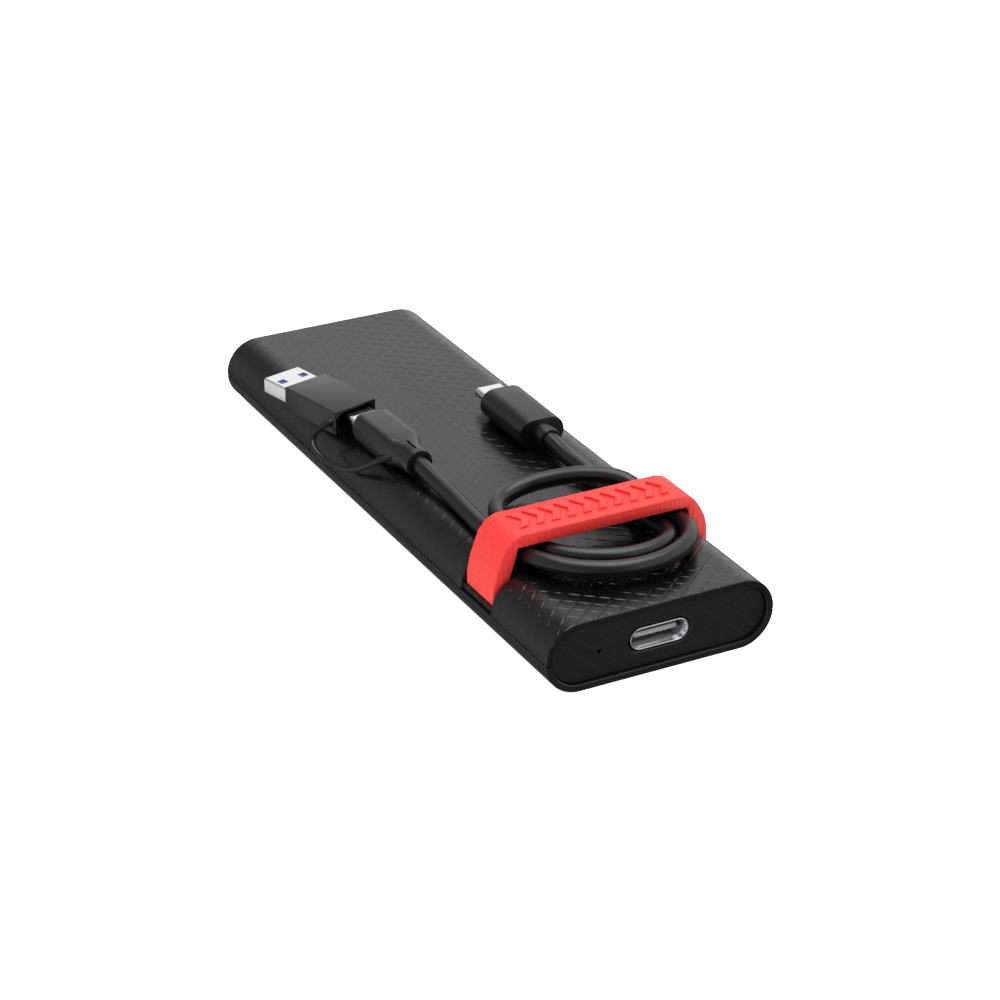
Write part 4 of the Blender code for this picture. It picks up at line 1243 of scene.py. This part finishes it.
class DRIVE_OT_stage(bpy.types.Operator):
    """Sets the floor, the soft light and the camera"""

    bl_idname = "drive.stage"
    bl_label = "Stage"

    def execute(self, context):
        scene = context.scene
        settings = scene.drive_stage
        self.lay_floor(settings)
        self.light_studio(scene, settings)
        self.set_camera(scene, settings)
        scene.view_settings.view_transform = "Standard"
        return {"FINISHED"}

    def lay_floor(self, settings):
        shape = bmesh.new()
        discs = (circle(radius, 64) for radius in (0.3, 3.0))
        rings = [[shape.verts.new((x, y, -0.02 * MM)) for x, y in disc] for disc in discs]
        shape.faces.new(rings[0])
        skin(shape, rings)
        floor = new_piece("floor", shape)
        # Matt painted board: even and pale, with a very faint mottle.
        grain = 20 * MM
        colour = settings.floor_colour
        made, tree, shader = grained("board_painted_pale", colour, 0.9, grain, 0.0, shade=0.004)
        # The board is lit from inside as well, so that the object hardly shades it.
        shader.inputs["Emission Color"].default_value = (1.0, 1.0, 1.0, 1.0)
        shader.inputs["Emission Strength"].default_value = settings.floor_glow
        finish_with(floor, made)
        floor.visible_glossy = False

    def light_studio(self, scene, settings):
        # Soft light all round: brightest at the right, with a dim gap behind the left side and a
        # dark band below the horizon that opens to the bright table at the left.
        world = bpy.data.worlds.new("studio")
        scene.world = world
        world.use_nodes = True
        sky = world.node_tree
        back = sky.nodes["Background"]
        back.inputs["Strength"].default_value = settings.sky_strength
        place = add_node(sky, "TexCoord", output="Generated")
        parts = add_node(sky, "SeparateXYZ", {"Vector": place}).outputs
        rise = {"Value": parts["Z"], "From Min": -0.3, "From Max": 0.05}
        above = add_node(sky, "MapRange", rise, "Result", interpolation_type="SMOOTHSTEP")
        width = {"Value": parts["X"], "From Min": -1.0, "From Max": 1.0}
        across = add_node(sky, "MapRange", width, "Result")
        under = settings.under_share
        under_stops = ((0.0, 0.75), (0.13, 0.72), (0.29, under), (1.0, under))
        gap_stops = ((0.0, 0.6), (0.2, 0.42), (0.34, 0.25), (0.42, 0.25))
        bands = []
        for stops in (under_stops, (*gap_stops, (0.53, 0.45), (0.67, 0.97), (1.0, 1.0))):
            ramp = add_node(sky, "ValToRGB", {"Fac": across})
            elements = ramp.color_ramp.elements
            elements.remove(elements[1])
            for index, (spot, value) in enumerate(stops):
                stop = elements.new(spot) if index else elements[0]
                stop.color = (value, value, value, 1.0)
            ramp.color_ramp.interpolation = "EASE"
            bands.append(ramp.outputs["Color"])
        level = add_node(sky, "Mix", {0: above, 6: bands[0], 7: bands[1]}, 2, data_type="RGBA")
        sky.links.new(level, back.inputs["Color"])

        light = bpy.data.lights.new("top_softbox", "AREA")
        light.shape = "SQUARE"
        light.size = 0.7
        light.energy = settings.top_power
        lamp = bpy.data.objects.new("top_softbox", light)
        scene.collection.objects.link(lamp)
        lamp.location = (0.05, 0.05, 0.7)
        lamp.rotation_euler = (-lamp.location).to_track_quat("-Z", "Y").to_euler()

    def set_camera(self, scene, settings):
        lens = bpy.data.cameras.new("camera")
        lens.lens = settings.lens
        lens.sensor_width = 36.0
        lens.clip_start = 0.01
        lens.clip_end = 20.0
        camera = bpy.data.objects.new("camera", lens)
        scene.collection.objects.link(camera)
        across = Vector((math.cos(CAMERA_AZIMUTH), math.sin(CAMERA_AZIMUTH), 0.0))
        level = Vector((math.sin(CAMERA_AZIMUTH), -math.cos(CAMERA_AZIMUTH), 0.0))
        away = level * math.cos(CAMERA_ELEVATION) + Vector((0.0, 0.0, math.sin(CAMERA_ELEVATION)))
        turn = Matrix((across, away.cross(across), away)).transposed().to_4x4()
        camera.matrix_world = Matrix.Translation(CAMERA_PLACE) @ turn @ Matrix.Rotation(CAMERA_ROLL, 4, "Z")
        scene.camera = camera


# ---------------------------------------------------------------- panel and registration


class DRIVE_PT_builder(bpy.types.Panel):
    """Lists the pieces of the drive with their sizes and colours"""

    bl_idname = "DRIVE_PT_builder"
    bl_label = "Drive"
    bl_space_type = "VIEW_3D"
    bl_region_type = "UI"
    bl_category = "Drive"

    def draw(self, context):
        for title, settings_name, operators in PANEL_ROWS:
            box = self.layout.box()
            box.label(text=title)
            settings = getattr(context.scene, settings_name)
            for key in settings.__annotations__:
                box.prop(settings, key)
            for operator in operators:
                box.operator("drive." + operator)


SETTINGS = {
    "drive_shell": DriveShellSettings,
    "drive_strap": DriveStrapSettings,
    "drive_cable": DriveCableSettings,
    "drive_stage": DriveStageSettings,
}
PANEL_ROWS = (
    ("Enclosure", "drive_shell", ("upper_shell", "lower_shell", "end_plates", "inside")),
    ("Strap", "drive_strap", ("strap",)),
    ("Cable", "drive_cable", ("port", "right_plug", "left_plug", "adapter", "cable", "tether")),
    ("Stage", "drive_stage", ("stage",)),
)
CLASSES = (
    *SETTINGS.values(),
    DRIVE_OT_stage,
    DRIVE_OT_right_plug,
    DRIVE_OT_left_plug,
    DRIVE_OT_cable,
    DRIVE_OT_adapter,
    DRIVE_OT_tether,
    DRIVE_OT_strap,
    DRIVE_OT_upper_shell,
    DRIVE_OT_lower_shell,
    DRIVE_OT_end_plates,
    DRIVE_OT_port,
    DRIVE_OT_inside,
    DRIVE_PT_builder,
)


def register():
    for cls in CLASSES:
        bpy.utils.register_class(cls)
    for name, cls in SETTINGS.items():
        setattr(bpy.types.Scene, name, PointerProperty(type=cls))


def unregister():
    for name in SETTINGS:
        delattr(bpy.types.Scene, name)
    for cls in reversed(CLASSES):
        bpy.utils.unregister_class(cls)


def main():
    register()
    bpy.ops.drive.stage()
    bpy.ops.drive.right_plug()
    bpy.ops.drive.left_plug()
    bpy.ops.drive.cable()
    bpy.ops.drive.adapter()
    bpy.ops.drive.tether()
    bpy.ops.drive.strap()
    bpy.ops.drive.upper_shell()
    bpy.ops.drive.lower_shell()
    bpy.ops.drive.end_plates()
    bpy.ops.drive.port()
    bpy.ops.drive.inside()


if __name__ == "__main__":
    main()
